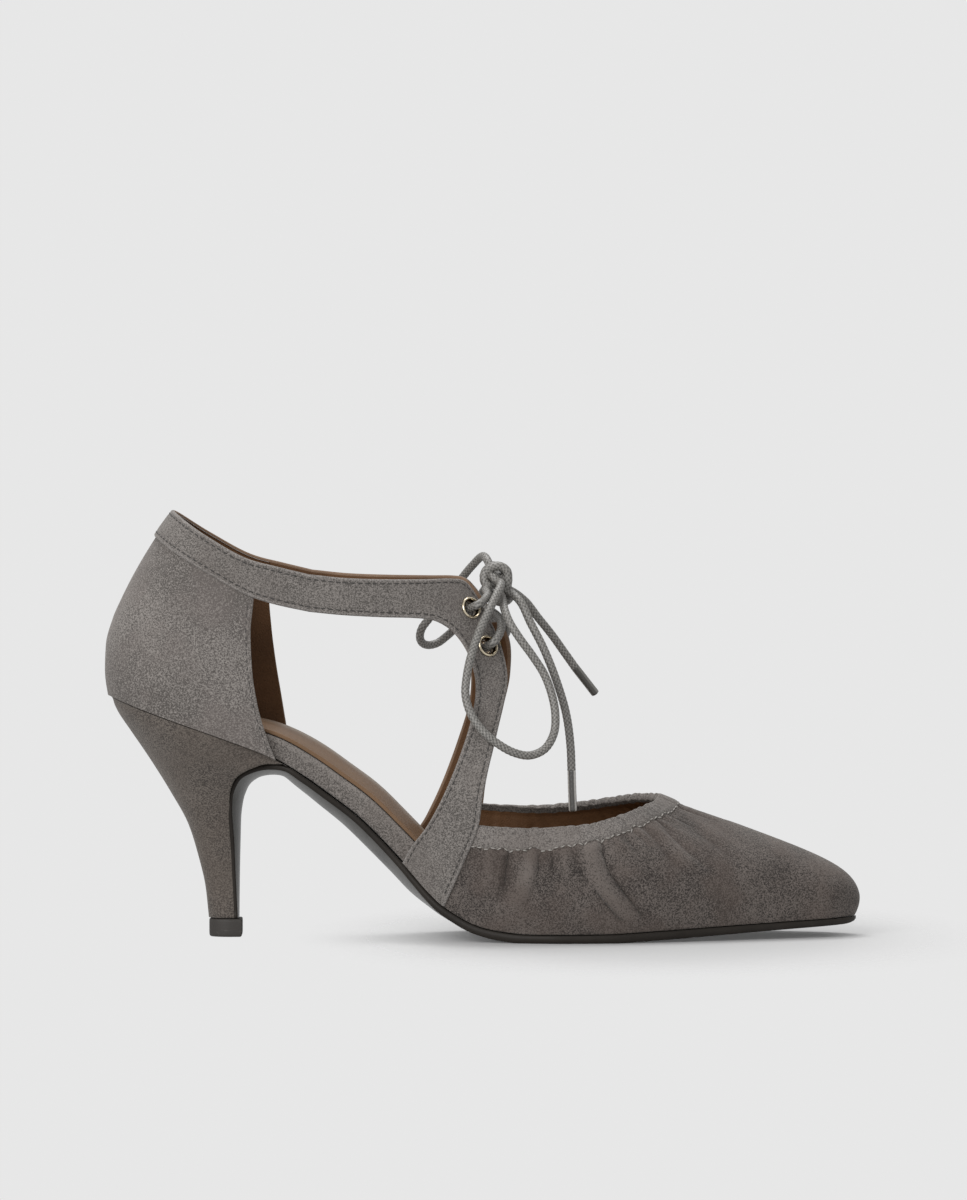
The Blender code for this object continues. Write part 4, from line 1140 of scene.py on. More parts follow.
@dataclass(frozen=True)
class Stitches:
    """A row of thread stitches, each a small rounded grain lying on a panel."""

    pitch: float = 2.4
    length: float = 1.65
    width: float = 0.42
    height: float = 0.3
    sides: int = 6

    def row(self, line: Array, out: Array) -> Patch:
        """Stitches evenly spaced along a line of points.

        A grain is an ellipse round its own length: each ring's radius is a power of one less the
        square of its place, so that the ends are blunt.

        Args:
            line: Points on the panel's face.
            out: Outward normals there.

        Returns:
            All the grains as one patch.
        """
        way = travelled(line)
        count = max(1, int((way[-1] - self.length) / self.pitch))
        middle = (np.arange(count) + 0.5) * way[-1] / count
        pick = [np.stack([np.interp(at, way, values[:, k]) for k in range(3)], axis=1)
                for at, values in ((middle, line), (middle, out), (middle + 0.4, line), (middle - 0.4, line))]
        centre, normal = pick[0], unit(pick[1])
        ahead = unit(pick[2] - pick[3])
        normal = unit(normal - ahead * np.sum(normal * ahead, axis=1, keepdims=True))
        across = np.cross(ahead, normal)
        place = np.array([-1.0, -0.72, 0.0, 0.72, 1.0])
        size = np.maximum(1 - place**2, 0.06) ** 0.45
        rings = len(place)
        turn = np.linspace(0.0, 2 * math.pi, self.sides, endpoint=False)
        ring = np.stack([np.broadcast_to(place[:, None] * self.length / 2, (rings, self.sides)),
                         size[:, None] * np.cos(turn) * self.width / 2,
                         size[:, None] * np.sin(turn) * self.height / 2], axis=-1)
        frame = np.stack([ahead, across, normal], axis=1)
        grains = centre[:, None, None, :] + np.einsum("rsk,nkc->nrsc", ring, frame)
        shape = Patch.grid(ring, close_cols=True)
        side = np.arange(self.sides)
        shape = shape.capped(side, side + (rings - 1) * self.sides)
        points = rings * self.sides
        faces = (shape.quads[None] + np.arange(count)[:, None, None] * points).reshape(-1, 4)
        return Patch(grains.reshape(-1, 3), faces, np.zeros(len(faces), int),
                     np.zeros((len(faces), 4, 2)), np.full(count * points, 0.5)).outward()


def edge_groove(at: float, depth: float, width: float) -> Callable[[Array], Array]:
    """A soft furrow where a stitch row pulls the panel in, at a length from its edge.

    Args:
        at: Length from the edge to the furrow's middle.
        depth: Its depth.
        width: Its width.

    Returns:
        The depth as a function of the length from the edge.
    """
    def furrow(reach: Array) -> Array:
        """Depth of the furrow at lengths from the nearer edge."""
        return depth * hump(reach - at, width)
    return furrow


# Front edges of the counter by height.
COUNTER = Table(("z", "lateral_x", "medial_x"), (
    (58.0, 57.6, 61.2),
    (66.0, 54.4, 59.8),
    (78.0, 51.0, 57.8),
    (90.0, 49.3, 55.8),
    (101.0, 48.9, 54.4),
    (112.0, 49.9, 53.6),
    (128.0, 51.0, 53.6),
))

# Lower and upper edge of the collar by place along the shoe.
COLLAR = Table(("x", "lower", "upper"), (
    (15.0, 133.4, 146.8),
    (24.0, 126.9, 139.8),
    (35.0, 120.2, 132.2),
    (49.0, 112.8, 124.8),
    (58.0, 110.1, 122.5),
    (68.0, 108.0, 120.1),
))

# Edges of the strap in side view, from the widest place over the tab to the sole.
STRAP = Table(("inner_x", "inner_z", "outer_x", "outer_z"), (
    (68.0, 108.0, 68.0, 120.1),
    (79.0, 106.9, 79.5, 119.0),
    (91.0, 106.3, 94.0, 118.7),
    (102.0, 106.0, 107.0, 118.7),
    (108.7, 105.2, 114.4, 118.8),
    (113.6, 102.8, 118.6, 118.2),
    (117.0, 99.6, 121.4, 115.6),
    (119.8, 95.4, 124.8, 110.0),
    (121.5, 91.0, 130.3, 99.0),
    (122.7, 84.0, 133.2, 86.6),
    (121.6, 75.0, 131.2, 75.4),
    (118.2, 63.8, 128.2, 63.6),
    (113.2, 50.0, 125.4, 49.4),
    (107.6, 39.0, 123.8, 38.2),
    (102.4, 31.8, 119.6, 27.4),
    (99.3, 26.0, 112.9, 11.6),
))

# Eyelets: side, place along the shoe and height.
EYELETS: dict[str, tuple[int, float, float]] = {
    "lateral_upper": (-1, 120.8, 108.9),
    "lateral_lower": (-1, 126.3, 96.4),
    "medial_upper": (1, 122.2, 108.9),
    "medial_lower": (1, 129.2, 96.4),
}


def bunched(count: int, power: float = 1.8) -> Array:
    """Even shares from -1 to 1 moved towards the ends."""
    share = np.linspace(-1.0, 1.0, count)
    return np.sign(share) * (1 - (1 - np.abs(share)) ** power)


def spokes(normal: Array, count: int) -> Array:
    """Unit vectors square to a normal, evenly spaced round it.

    Args:
        normal: The axis that they stand on.
        count: How many.

    Returns:
        One row for each.
    """
    turn = np.linspace(0.0, 2 * math.pi, count, endpoint=False)
    across = unit(np.cross((0.0, 0.0, 1.0), normal))
    return np.cos(turn)[:, None] * across + np.sin(turn)[:, None] * np.cross(normal, across)


@dataclass
class Counter:
    """Back panel from the seat up under the collar strap, with stitched front edges."""

    form: Form
    wall: float = 1.6
    below_collar: float = 0.8
    # Painted shade on the counter: darker towards the seat and up towards the collar strap.
    low_painted_shade: float = 0.2
    high_painted_shade: float = 0.24
    low_from: Pair = (0.2, 1.0)
    high_from: Pair = (-0.1, 0.45)
    rows: int = 90
    cols: int = 200
    rim: int = 5
    groove: Pair = (0.15, 0.5)
    thread_sunk: float = 0.05
    stitched: float = 0.78
    stitch_in: float = 1.6
    inside: tuple[float, float, float] = (40.0, 0.0, 100.0)

    def sheet(self) -> Sheet:
        """Grid round the heel between the seat and the collar, turned so that its rows end at the fronts.

        Returns:
            The sheet.
        """
        part = bunched(self.cols)[None, :]

        def angle_of(z: Array) -> Array:
            """Angles of the columns between the two front edges."""
            lateral = self.form.angle_at(COUNTER.at("lateral_x", z), z)
            medial = self.form.angle_at(COUNTER.at("medial_x", z), z)
            return part * np.where(part < 0, lateral, medial)

        grid = self.form.heel_grid(
            angle_of, lambda x: LAST.at("z", x) + self.form.gap,
            lambda x: COLLAR.at("upper", x) - self.below_collar, self.rows, self.cols)
        return Sheet.of(grid.transpose(1, 0, 2), self.inside)

    def build(self, shop: Workshop) -> None:
        """The panel and the stitch rows along its front edges.

        Args:
            shop: Makes and dresses the pieces.
        """
        sheet = self.sheet()
        profile = sheet.band(self.wall, 0.0, self.cols, self.rim, edge_groove(self.stitch_in, *self.groove))
        # Painted shade: the counter's colour is darkened low down and towards the strap through its crease
        # value.
        height = np.linspace(-1.0, 1.0, self.rows)
        dark = (self.low_painted_shade * ramp(-height, *self.low_from)
                + self.high_painted_shade * ramp(height, *self.high_from))
        shade = np.broadcast_to(-dark, profile[0].shape)
        shop.piece("counter_panel", sheet.wall(*profile, self.form, shade),
                   (GREY, EDGE_GREY, LINING, LINING_EDGE), ("upper",))
        below_strap = slice(2, int(self.rows * self.stitched))
        stitches = sheet.edge_stitches(self.stitch_in, self.wall - self.thread_sunk, below_strap)
        shop.piece("counter_stitches", stitches, (DARK_THREAD,))


@dataclass
class Strap:
    """Collar strap round the heel that runs on into the eyelet tabs and the front straps."""

    form: Form
    rows: int = 28
    heel_cols: int = 170
    side_cols: int = 260
    stitch_in: float = 1.6
    hole: float = 3.3
    hole_sides: int = 40
    hole_reach: Pair = (-5.0, 4.0)
    faces: int = 30
    rim: int = 5
    groove: Pair = (0.16, 0.5)
    thread_sunk: float = 0.05
    end_cols: int = 4
    foot_lift: float = 0.2
    inside: tuple[float, float, float] = (40.0, 0.0, 100.0)

    def side(self, side: Side) -> Array:
        """Half of the strap from the widest place to the tab and down to the sole, its edges cubic.

        Args:
            side: Which half.

        Returns:
            Places, rows by columns.
        """
        sign = side.value
        knots = np.arange(len(STRAP.rows), dtype=float)
        at = np.linspace(0.0, knots[-1], self.side_cols)
        edges = [STRAP.column(name) for name in STRAP.names]
        edges[0] = edges[0] + self.form.lead("rear", sign, edges[0], edges[1])
        edges[2] = edges[2] + self.form.lead("front", sign, edges[2], edges[3])
        inner_x, inner_z, outer_x, outer_z = catmull(at, knots, np.stack(edges, axis=1)).T
        t = np.linspace(0.0, 1.0, self.rows)[:, None]
        x = inner_x * (1 - t) + outer_x * t
        z = inner_z * (1 - t) + outer_z * t
        x, z = self.form.under_face(sign, x, z)
        floor = LAST.at("z", x) + self.form.gap + self.foot_lift
        z[:, -1] = floor[:, -1]
        z = np.maximum(z, floor)
        return np.stack([x, self.form.strap_y(sign, x, z), z], axis=-1)

    def sheet(self) -> Sheet:
        """The whole strap from the lateral sole edge round the heel to the medial sole edge.

        Returns:
            The sheet.
        """
        heel = self.form.heel_grid(
            lambda z: bunched(self.heel_cols)[None, :] * math.pi / 2 + 0.0 * z,
            lambda x: COLLAR.at("lower", x), lambda x: COLLAR.at("upper", x), self.rows, self.heel_cols)
        lateral = self.side(Side.LATERAL)[:, :0:-1]
        medial = self.side(Side.MEDIAL)[:, 1:]
        return Sheet.of(np.concatenate([lateral, heel, medial], axis=1), self.inside)

    def holes(self) -> list[Patch]:
        """Round cutters through the tabs at the eyelets.

        Returns:
            One cutter for each eyelet.
        """
        ring = np.arange(self.hole_sides)
        made = []
        for side, x, z in EYELETS.values():
            centre, normal = self.form.tab_frame(side, x, z)
            rim = self.hole * spokes(normal, self.hole_sides)
            ends = np.stack([centre + rim + out * normal for out in self.hole_reach])
            made.append(Patch.grid(ends, close_cols=True).capped(ring, ring + self.hole_sides).outward())
        return made

    def build(self, shop: Workshop) -> None:
        """The strap with its eyelet holes, and a stitch row along each edge.

        Args:
            shop: Makes and dresses the pieces.
        """
        sheet = self.sheet()
        profile = sheet.band(self.form.strap_outer, self.form.strap_inner, self.faces, self.rim,
                             edge_groove(self.stitch_in, *self.groove))
        strap = shop.piece("collar_strap", sheet.wall(*profile, self.form),
                           (STRAP_GREY, EDGE_GREY, LINING, LINING_EDGE), ("upper",))
        shop.bored(strap, self.holes())
        stitched = slice(self.end_cols, -self.end_cols)
        stitches = sheet.edge_stitches(self.stitch_in, self.form.strap_outer - self.thread_sunk, stitched)
        shop.piece("strap_stitches", stitches, (DARK_THREAD,))


@dataclass(frozen=True)
class Fold:
    """A crease of the vamp in side view: height, bell widths behind and ahead, and its line."""

    height: float
    behind: float
    ahead: float
    line: Rows
    points: int = 28
    fade_from: float = 0.45

    def relief(self, x: Array, z: Array) -> Array:
        """Height times a bell of the distance to the line, fading out towards the line's end.

        Args:
            x: Places along the shoe.
            z: Heights.

        Returns:
            How far the surface is moved out.
        """
        line = along(self.line, self.points)
        slope = unit(np.gradient(line, axis=0))
        gap = np.stack([x, z], axis=-1)[..., None, :] - line
        near = np.argmin(np.sum(gap**2, axis=-1), axis=-1)
        away = np.take_along_axis(gap, near[..., None, None], axis=-2)[..., 0, :]
        distance = np.linalg.norm(away, axis=-1)
        turn = slope[near, 0] * away[..., 1] - slope[near, 1] * away[..., 0]
        width = np.where(turn > 0, self.ahead, self.behind)
        fade = 1 - ramp(near / (self.points - 1.0), self.fade_from, 1.0)
        return self.height * hump(distance, width) * fade


# Folds of each side of the vamp; a trough has a negative height.
FOLDS: dict[Side, tuple[Fold, ...]] = {
    Side.LATERAL: (
        Fold(-1.3, 1.9, 2.1, ((122.6, 29.0), (122.3, 26.0), (121.4, 21.3), (121.0, 13.0))),
        Fold(0.6, 1.8, 1.6, ((127.4, 29.0), (126.8, 24.0), (126.0, 16.0))),
        Fold(-1.4, 2.0, 2.3, ((133.0, 29.0), (132.6, 26.0), (131.9, 19.8), (131.4, 11.4))),
        Fold(1.3, 2.6, 1.3, ((140.8, 29.2), (140.4, 25.0), (139.6, 20.4), (136.0, 9.8))),
        Fold(-1.0, 0.9, 1.3, ((142.0, 29.0), (142.2, 25.0), (141.7, 19.5))),
        Fold(-0.6, 1.3, 1.5, ((147.2, 29.0), (147.6, 24.5), (147.2, 19.5))),
        Fold(0.5, 1.3, 1.3, ((151.0, 29.4), (151.3, 25.5), (151.2, 21.0))),
        Fold(-0.7, 2.2, 1.6, ((155.6, 29.2), (156.6, 26.0), (158.4, 22.0), (160.6, 16.6))),
        Fold(1.1, 3.0, 1.7, ((159.6, 29.8), (161.0, 24.6), (163.6, 19.0), (168.2, 13.4), (174.6, 6.6),
                             (178.0, 2.0))),
        Fold(-1.6, 0.7, 1.6, ((162.8, 29.6), (165.4, 23.2), (169.2, 17.6), (172.6, 13.4), (177.2, 7.4),
                              (180.0, 3.6))),
        Fold(-0.9, 1.4, 1.2, ((161.6, 17.6), (164.4, 14.4), (167.6, 10.6), (171.2, 6.6), (175.0, 2.8))),
        Fold(-0.6, 1.1, 1.2, ((171.0, 33.6), (173.4, 30.8), (176.4, 27.0))),
        Fold(-0.5, 1.3, 1.7, ((177.2, 36.0), (181.6, 30.8), (188.4, 23.6), (196.0, 18.0))),
        Fold(0.4, 1.7, 1.5, ((180.2, 36.8), (185.4, 31.4), (193.0, 24.6), (200.0, 19.0))),
        Fold(-0.55, 1.2, 1.5, ((183.0, 36.8), (187.6, 31.6), (195.0, 25.4), (203.0, 20.0))),
        Fold(-0.5, 1.3, 1.7, ((186.2, 40.0), (193.0, 35.4), (203.0, 28.6), (211.0, 23.0))),
        Fold(-0.4, 1.2, 1.3, ((188.6, 42.0), (196.0, 38.6), (210.0, 30.0))),
        Fold(-0.5, 1.1, 1.2, ((190.4, 43.6), (198.0, 41.0), (209.0, 35.4))),
    ),
    Side.MEDIAL: (
        Fold(-1.2, 1.9, 2.1, ((124.6, 31.0), (124.0, 26.0), (123.0, 15.0))),
        Fold(-1.3, 2.0, 1.8, ((131.0, 31.0), (130.6, 26.0), (129.4, 13.0))),
        Fold(1.1, 1.6, 2.2, ((136.6, 31.0), (136.8, 26.0), (138.4, 12.0))),
        Fold(-1.2, 1.2, 1.6, ((143.4, 31.0), (143.8, 25.0), (145.4, 17.0))),
        Fold(-0.8, 1.4, 1.4, ((149.8, 31.0), (150.6, 26.0), (152.4, 19.0))),
        Fold(1.3, 1.8, 1.4, ((155.4, 31.4), (157.4, 25.0), (162.0, 16.0), (170.0, 6.0))),
        Fold(-1.4, 0.9, 1.7, ((158.4, 31.6), (160.8, 25.0), (166.0, 16.0), (173.0, 8.0))),
        Fold(-0.9, 1.2, 1.3, ((166.6, 34.0), (170.0, 29.0), (175.4, 21.0))),
        Fold(-0.7, 1.2, 1.2, ((173.6, 36.0), (177.6, 31.6), (183.0, 25.4))),
        Fold(-0.8, 1.1, 1.2, ((180.2, 38.0), (184.4, 34.0), (189.4, 28.6))),
        Fold(-0.6, 1.2, 1.3, ((185.6, 40.4), (192.0, 36.4), (200.0, 30.0))),
        Fold(-0.5, 1.1, 1.2, ((189.4, 43.0), (197.0, 40.0), (208.0, 34.6))),
    ),
}

# Lines of the vamp from top edge to sole, from the lateral rear over the toe to the medial rear.
VAMP_NAMES = ("top_x", "top_y", "top_z", "foot_x", "lead", "swell", "fall", "flare", "rise")
VAMP = Table(VAMP_NAMES, (
    (117.0, -35.2, 39.4, 106.2, 0.1, 0.3, 8.0, 3.4, 10.0),
    (131.0, -35.6, 38.2, 126.0, 0.2, 1.5, 9.0, 4.0, 11.0),
    (144.0, -33.6, 37.4, 147.0, 0.3, 3.0, 8.5, 4.4, 13.0),
    (156.0, -29.2, 37.4, 168.0, 0.45, 4.4, 8.8, 4.6, 13.5),
    (167.5, -21.6, 39.5, 191.0, 0.62, 4.2, 11.0, 4.4, 14.0),
    (176.0, -12.2, 42.1, 215.0, 0.77, 2.6, 15.0, 3.6, 15.0),
    (180.8, -3.8, 43.8, 236.0, 0.86, 1.0, 19.6, 2.8, 15.4),
    (182.2, 3.0, 45.1, 247.8, 0.895, 0.0, 22.0, 2.3, 15.6),
    (180.4, 9.2, 44.9, 236.0, 0.86, 1.0, 19.6, 2.8, 15.4),
    (175.4, 17.0, 44.6, 215.0, 0.77, 2.6, 15.0, 3.6, 15.0),
    (167.0, 25.0, 43.2, 191.0, 0.62, 4.2, 11.0, 4.4, 14.0),
    (156.0, 30.6, 41.6, 168.0, 0.45, 4.4, 8.8, 4.6, 13.5),
    (144.0, 33.0, 41.0, 147.0, 0.3, 3.0, 8.5, 4.4, 13.0),
    (131.0, 32.2, 41.6, 125.0, 0.2, 1.5, 9.0, 4.0, 11.0),
    (117.0, 29.2, 43.0, 104.6, 0.1, 0.3, 8.0, 3.4, 10.0),
))


@dataclass
class Vamp:
    """Gathered vamp with an elastic casing along its top edge."""

    form: Form
    wall: float = 1.6
    casing: float = 7.2
    casing_puff: float = 0.7
    edge_rise: float = 0.3
    fold_height: float = 1.15
    # Share of the fold and gather moves painted into the suede as shade: troughs painted darker, ridges
    # lighter.
    worn: float = 0.38
    turned_in: float = 2.3
    rows: int = 130
    cols: int = 440
    casing_rows: int = 14
    body_rows: int = 74
    lining_rows: int = 36
    gathers: tuple[tuple[float, float, float], ...] = (
        (3.3, 0.12, 0.4), (4.6, 0.16, 2.1), (6.1, 0.18, 4.0), (9.4, 0.14, 1.2))
    gather_reach: float = 6.5
    casing_ripple: float = 0.3
    under_strap: Pair = (118.0, 142.0)
    strap_clear: Pair = (122.0, 131.0)
    toe_tuck: float = 1.7
    tuck_from: float = 0.82
    tuck_foot: Pair = (234.0, 247.0)
    edge_rows: int = 5
    rim_rows: int = 7
    sunk: float = 0.2
    hem_depth: float = 0.5
    casing_light: float = 0.15
    throat_dim: float = 0.4
    throat: Pair = (148.0, 178.0)
    inside: tuple[float, float, float] = (150.0, 0.0, 10.0)

    def base(self) -> tuple[Array, Array]:
        """Cubic lines from the top edge to the foot, evenly spaced round the vamp, and their side.

        Returns:
            The places, and the side of each line.
        """
        ridge = (len(VAMP.rows) - 1) / 2
        index = np.linspace(0.0, 2 * ridge, 3000)
        ends = [np.stack([VAMP.blend("top_x", index), VAMP.blend("top_y", index)], axis=1),
                self.form.feather(np.where(index < ridge, -1.0, 1.0), VAMP.blend("foot_x", index))]
        spread = sum(travelled(line) for line in ends)
        at = np.interp(np.linspace(0.0, spread[-1], self.cols), spread, index)
        side = np.where(at < ridge, -1.0, 1.0)
        pick = {name: VAMP.blend(name, at)[:, None] for name in VAMP_NAMES}
        foot = self.form.feather(side, pick["foot_x"][:, 0])
        foot[:, 2] += self.form.gap
        tangent = np.gradient(foot, axis=0)
        out = unit(np.stack([np.maximum(tangent[:, 1], 0.0), -tangent[:, 0], 0.0 * at], axis=1))
        top = np.concatenate([pick["top_x"], pick["top_y"], pick["top_z"]], axis=1)
        lift = np.array([0.0, 0.0, 1.0])
        ahead = (foot - top) * np.array([1.0, 1.0, 0.0]) * pick["lead"]
        near_top = top + ahead + out * pick["swell"] - lift * pick["fall"]
        near_foot = foot + out * pick["flare"] + lift * pick["rise"]
        t = np.linspace(0.0, 1.0, self.rows)[:, None, None]
        grid = ((1 - t) ** 3 * top + 3 * t * (1 - t) ** 2 * near_top
                + 3 * t * t * (1 - t) * near_foot + t**3 * foot)
        at_toe = ramp(pick["foot_x"][:, 0], *self.tuck_foot)
        low = np.clip((t[..., 0] - self.tuck_from) / (1 - self.tuck_from), 0.0, 1.0)
        grid[..., 0] -= self.toe_tuck * low**2 * at_toe
        rear = 1 - ramp(grid[..., 0], *self.under_strap)
        grid[..., 1] += rear * (self.form.strap_y(side, grid[..., 0], grid[..., 2]) - grid[..., 1])
        return grid, side

    def ripple(self, way: Array) -> Array:
        """Gathers along the stitch line: a sum of cosines of uneven lengths."""
        return sum(a * np.cos(2 * math.pi * way / length + phase) for length, a, phase in self.gathers)

    def creased(self) -> tuple[Sheet, Array]:
        """The sheet with its folds and gathers, and how far each point was moved.

        The folds start below the casing. The gathers are strongest at the stitch line and die away
        downwards. Both are kept off where the strap lies over the vamp.

        Returns:
            The sheet and the moves.
        """
        grid, side = self.base()
        plain = Sheet.of(grid, self.inside)
        x, z = grid[..., 0], grid[..., 2]
        moved = np.zeros(x.shape)
        for where, folds in FOLDS.items():
            mine = side == where.value
            moved[:, mine] = self.fold_height * sum(fold.relief(x[:, mine], z[:, mine]) for fold in folds)
        below = plain.way - self.casing
        moved *= ramp(below, -1.0, 2.5)
        ripple = self.ripple(travelled(grid[int(self.rows * 0.15)]))[None, :]
        fading = np.exp(-np.maximum(below, 0.0) / self.gather_reach)
        moved += ripple * np.where(below > 0, fading, self.casing_ripple)
        moved *= ramp(x, *self.strap_clear) * (1 - ramp(plain.way / plain.width, 0.86, 0.98))
        raised = grid + plain.normal * moved[..., None]
        raised[..., 2] += self.edge_rise * ripple * ramp(-plain.way, -4.0, 0.0) * ramp(x, *self.strap_clear)
        return Sheet.of(raised, self.inside), moved

    def build(self, shop: Workshop) -> None:
        """The vamp as one wall: casing puffed to its stitch line, body below, lining inside.

        Args:
            shop: Makes and dresses the pieces.
        """
        sheet, moved = self.creased()
        cols = self.cols
        radius = (self.wall + self.casing_puff) / 2
        clear = ramp(sheet.grid[0, :, 0], *self.strap_clear)[None, :]
        level = np.zeros((1, cols))
        casing = sheet.share_at(np.linspace(radius * 0.6, self.casing, self.casing_rows)[:, None] + level)
        rest = np.linspace(0.0, 1.0, self.body_rows + 1)[1:, None]
        body = casing[-1:] + (1 - casing[-1:]) * rest
        swell = np.linspace(0.0, 1.0, self.casing_rows)[:, None]
        puff = self.casing_puff * np.sqrt(np.clip(1 - swell**4, 0.0, 1.0)) * (0.35 + 0.65 * clear)
        into = ramp(rest * (sheet.width - self.casing), 0.0, 2.2)
        outer = np.concatenate([self.wall + puff - self.sunk,
                                self.wall - self.sunk * (1 - into) + 0.0 * body])
        shares = np.concatenate([casing, body])
        hem = sheet.share_at(np.full((1, cols), self.turned_in))
        turned = np.linspace(radius * 0.6, self.turned_in, self.edge_rows)[:, None]
        inside_edge = sheet.share_at(turned + level)
        lining = hem + (1 - hem) * np.linspace(0.0, 1.0, self.lining_rows)[1:, None]
        inner_shares = np.concatenate([inside_edge, lining])[::-1]
        inner = np.zeros(inner_shares.shape)
        inner[-self.edge_rows :] = -self.hem_depth
        turn = np.linspace(-math.pi / 2, math.pi / 2, self.rim_rows + 2)[1:-1, None]
        top_depth = self.wall + puff[:1] - self.sunk
        middle, reach = (top_depth - self.hem_depth) / 2, (top_depth + self.hem_depth) / 2
        rim_share = casing[:1] * (1 - np.cos(turn))
        rim = middle + reach * np.sin(turn)
        all_shares = np.concatenate([shares, inner_shares, rim_share])
        depths = np.concatenate([outer, inner, rim])
        counts = (self.casing_rows - 1, self.body_rows, self.lining_rows, self.edge_rows, self.rim_rows)
        # Finish 3, the turned-in inner edge, takes the casing suede's painted-shade copy.
        kinds = np.repeat([0, 1, 2, 3, 0], counts)
        # Painted shade from the folds and gathers: troughs darker, ridges lighter; the casing is made lighter
        # overall and darker towards the throat.
        worn = np.zeros(all_shares.shape)
        place = np.clip(shares, 0, 1) * (self.rows - 1)
        worn[: len(shares)] = self.worn * np.take_along_axis(moved, place.astype(int), axis=0)
        dim = self.throat_dim * ramp(sheet.grid[0, :, 0], *self.throat)
        worn[: self.casing_rows] += self.casing_light - dim
        patch = sheet.wall(all_shares, depths, kinds, self.form, worn)
        shop.piece("gathered_vamp", patch, (CASING_GREY, VAMP_GREY, LINING, CASING_PAINTED_SHADE),
                   ("upper",))
        line, out = sheet.line_at(casing[-1:], self.wall + 0.02)
        shown = line[:, 0] > self.strap_clear[0] - 2.0
        stitches = Stitches(2.3, 1.45, 0.46, 0.46).row(line[shown], out[shown])
        shop.piece("vamp_stitches", stitches, (PALE_THREAD,))


# Sections of the heel from the top piece up to the seat.
HEEL = Table(("back_x", "back_z", "front_x", "front_z", "half", "round"), (
    (34.3, 6.3, 42.4, 6.3, 5.5, 0.62),
    (33.2, 16.5, 41.9, 18.0, 6.3, 0.62),
    (30.8, 26.8, 41.4, 29.0, 7.9, 0.64),
    (27.6, 37.0, 40.8, 38.5, 10.4, 0.66),
    (21.6, 48.0, 41.0, 46.8, 14.4, 0.68),
    (14.6, 59.2, 42.8, 52.5, 19.0, 0.64),
    (8.4, 68.3, 47.8, 56.1, 23.0, 0.56),
    (4.4, 74.3, 54.0, 57.9, 25.2, 0.5),
    (2.2, 79.0, 60.2, 57.6, 26.1, 0.46),
))


@dataclass
class Heel:
    """Suede-covered cone heel and the top piece that it stands on."""

    form: Form
    rings: int = 90
    round_points: int = 26
    flat_points: int = 14
    breast_taper: float = 0.06
    seat_taper: float = 0.13
    breast_fill: float = 0.6
    seat_camber: float = 1.5
    top_front: float = 45.3
    top_height: float = 6.0
    top_over: float = 0.2
    taper_power: float = 1.6
    seat_rows: float = 2.5

    def section(self, round_share: Array, taper: Array | float) -> tuple[Array, Array]:
        """Half of a D: a quarter round at the back, then nearly straight and narrowing to the front.

        Args:
            round_share: Share of the depth that the round takes, by section.
            taper: Share of the width lost at the front.

        Returns:
            Places from back to front, and half widths, both as shares.
        """
        turn = np.linspace(0.0, math.pi / 2, self.round_points)
        flat = np.linspace(0.0, 1.0, self.flat_points + 1)[1:]
        round_share = np.asarray(round_share, float)[:, None]
        places = np.concatenate([round_share * (1 - np.cos(turn)),
                                 round_share + (1 - round_share) * flat], axis=1)
        narrow = np.concatenate([0.0 * turn, flat**self.taper_power])
        full = np.concatenate([np.sin(turn), np.ones_like(flat)])
        return places, full - np.reshape(taper, (-1, 1)) * narrow + 0.0 * places

    def closed(self, x: Array, y: Array, z: Array) -> Patch:
        """Rings from a half section and its mirror image, capped at both ends.

        Args:
            x: Places along the shoe, sections by points.
            y: Half widths.
            z: Heights.

        Returns:
            The closed shape.
        """
        one = np.stack([x, -y, z], axis=-1)
        other = np.stack([x, y, z], axis=-1)[:, :0:-1]
        rings = np.concatenate([one, other], axis=1)
        count, sides = rings.shape[:2]
        ring = np.arange(sides - sides % 2)
        return Patch.grid(rings, close_cols=True).capped(ring, ring + (count - 1) * sides).outward()

    def build(self, shop: Workshop) -> None:
        """The cone from the top piece to the seat, and the top piece with softened edges.

        Args:
            shop: Makes and dresses the pieces.
        """
        at = np.linspace(0.0, len(HEEL.rows) - 1.0, self.rings)
        row = {name: HEEL.blend(name, at)[:, None] for name in HEEL.names}
        taper = self.breast_taper + self.seat_taper * ramp(at, at[-1] - self.seat_rows, at[-1])
        places, width = self.section(row["round"][:, 0], taper)
        front_x = row["front_x"] + self.breast_fill
        x = row["back_x"] + places * (front_x - row["back_x"])
        z = row["back_z"] + places * (row["front_z"] - row["back_z"])
        seated = np.minimum(LAST.at("z", x), z + self.seat_camber)
        z = z + np.clip(2 * (at - at[-1]) + 1, 0.0, 1.0)[:, None] * (seated - z)
        shop.piece("heel_cover", self.closed(x, width * row["half"], z), (HEEL_GREY,), ("heel",))
        level = np.array([[0.0, -1.0], [0.0, -0.5], [0.25, -0.12], [0.7, 0.0], [1.6, 0.05], [5.0, 0.05],
                          [5.7, 0.0], [self.top_height, -0.35]])
        places, width = self.section(np.full(len(level), HEEL.column("round")[0]), self.breast_taper)
        back, half = (HEEL.column(name)[0] + self.top_over for name in ("back_x", "half"))
        grow = level[:, 1:]
        x = back - grow + places * (self.top_front - back + 2 * grow)
        z = level[:, :1] + 0.0 * x
        shop.piece("heel_top_piece", self.closed(x, width * (half + grow), z), (TOP_RUBBER,),
                   ("top_piece",))


# The sole's flap down the heel's breast, from its lower end to the waist.
FLAP = Table(("x", "z", "half"), (
    (42.8, 6.3, 5.5),
    (42.2, 19.2, 6.3),
    (41.6, 33.0, 8.6),
    (41.1, 42.5, 11.4),
    (41.7, 48.7, 13.4),
    (44.3, 53.6, 15.2),
    (49.2, 56.4, 17.2),
    (55.0, 57.6, 19.2),
    (60.5, 57.0, 20.6),
))

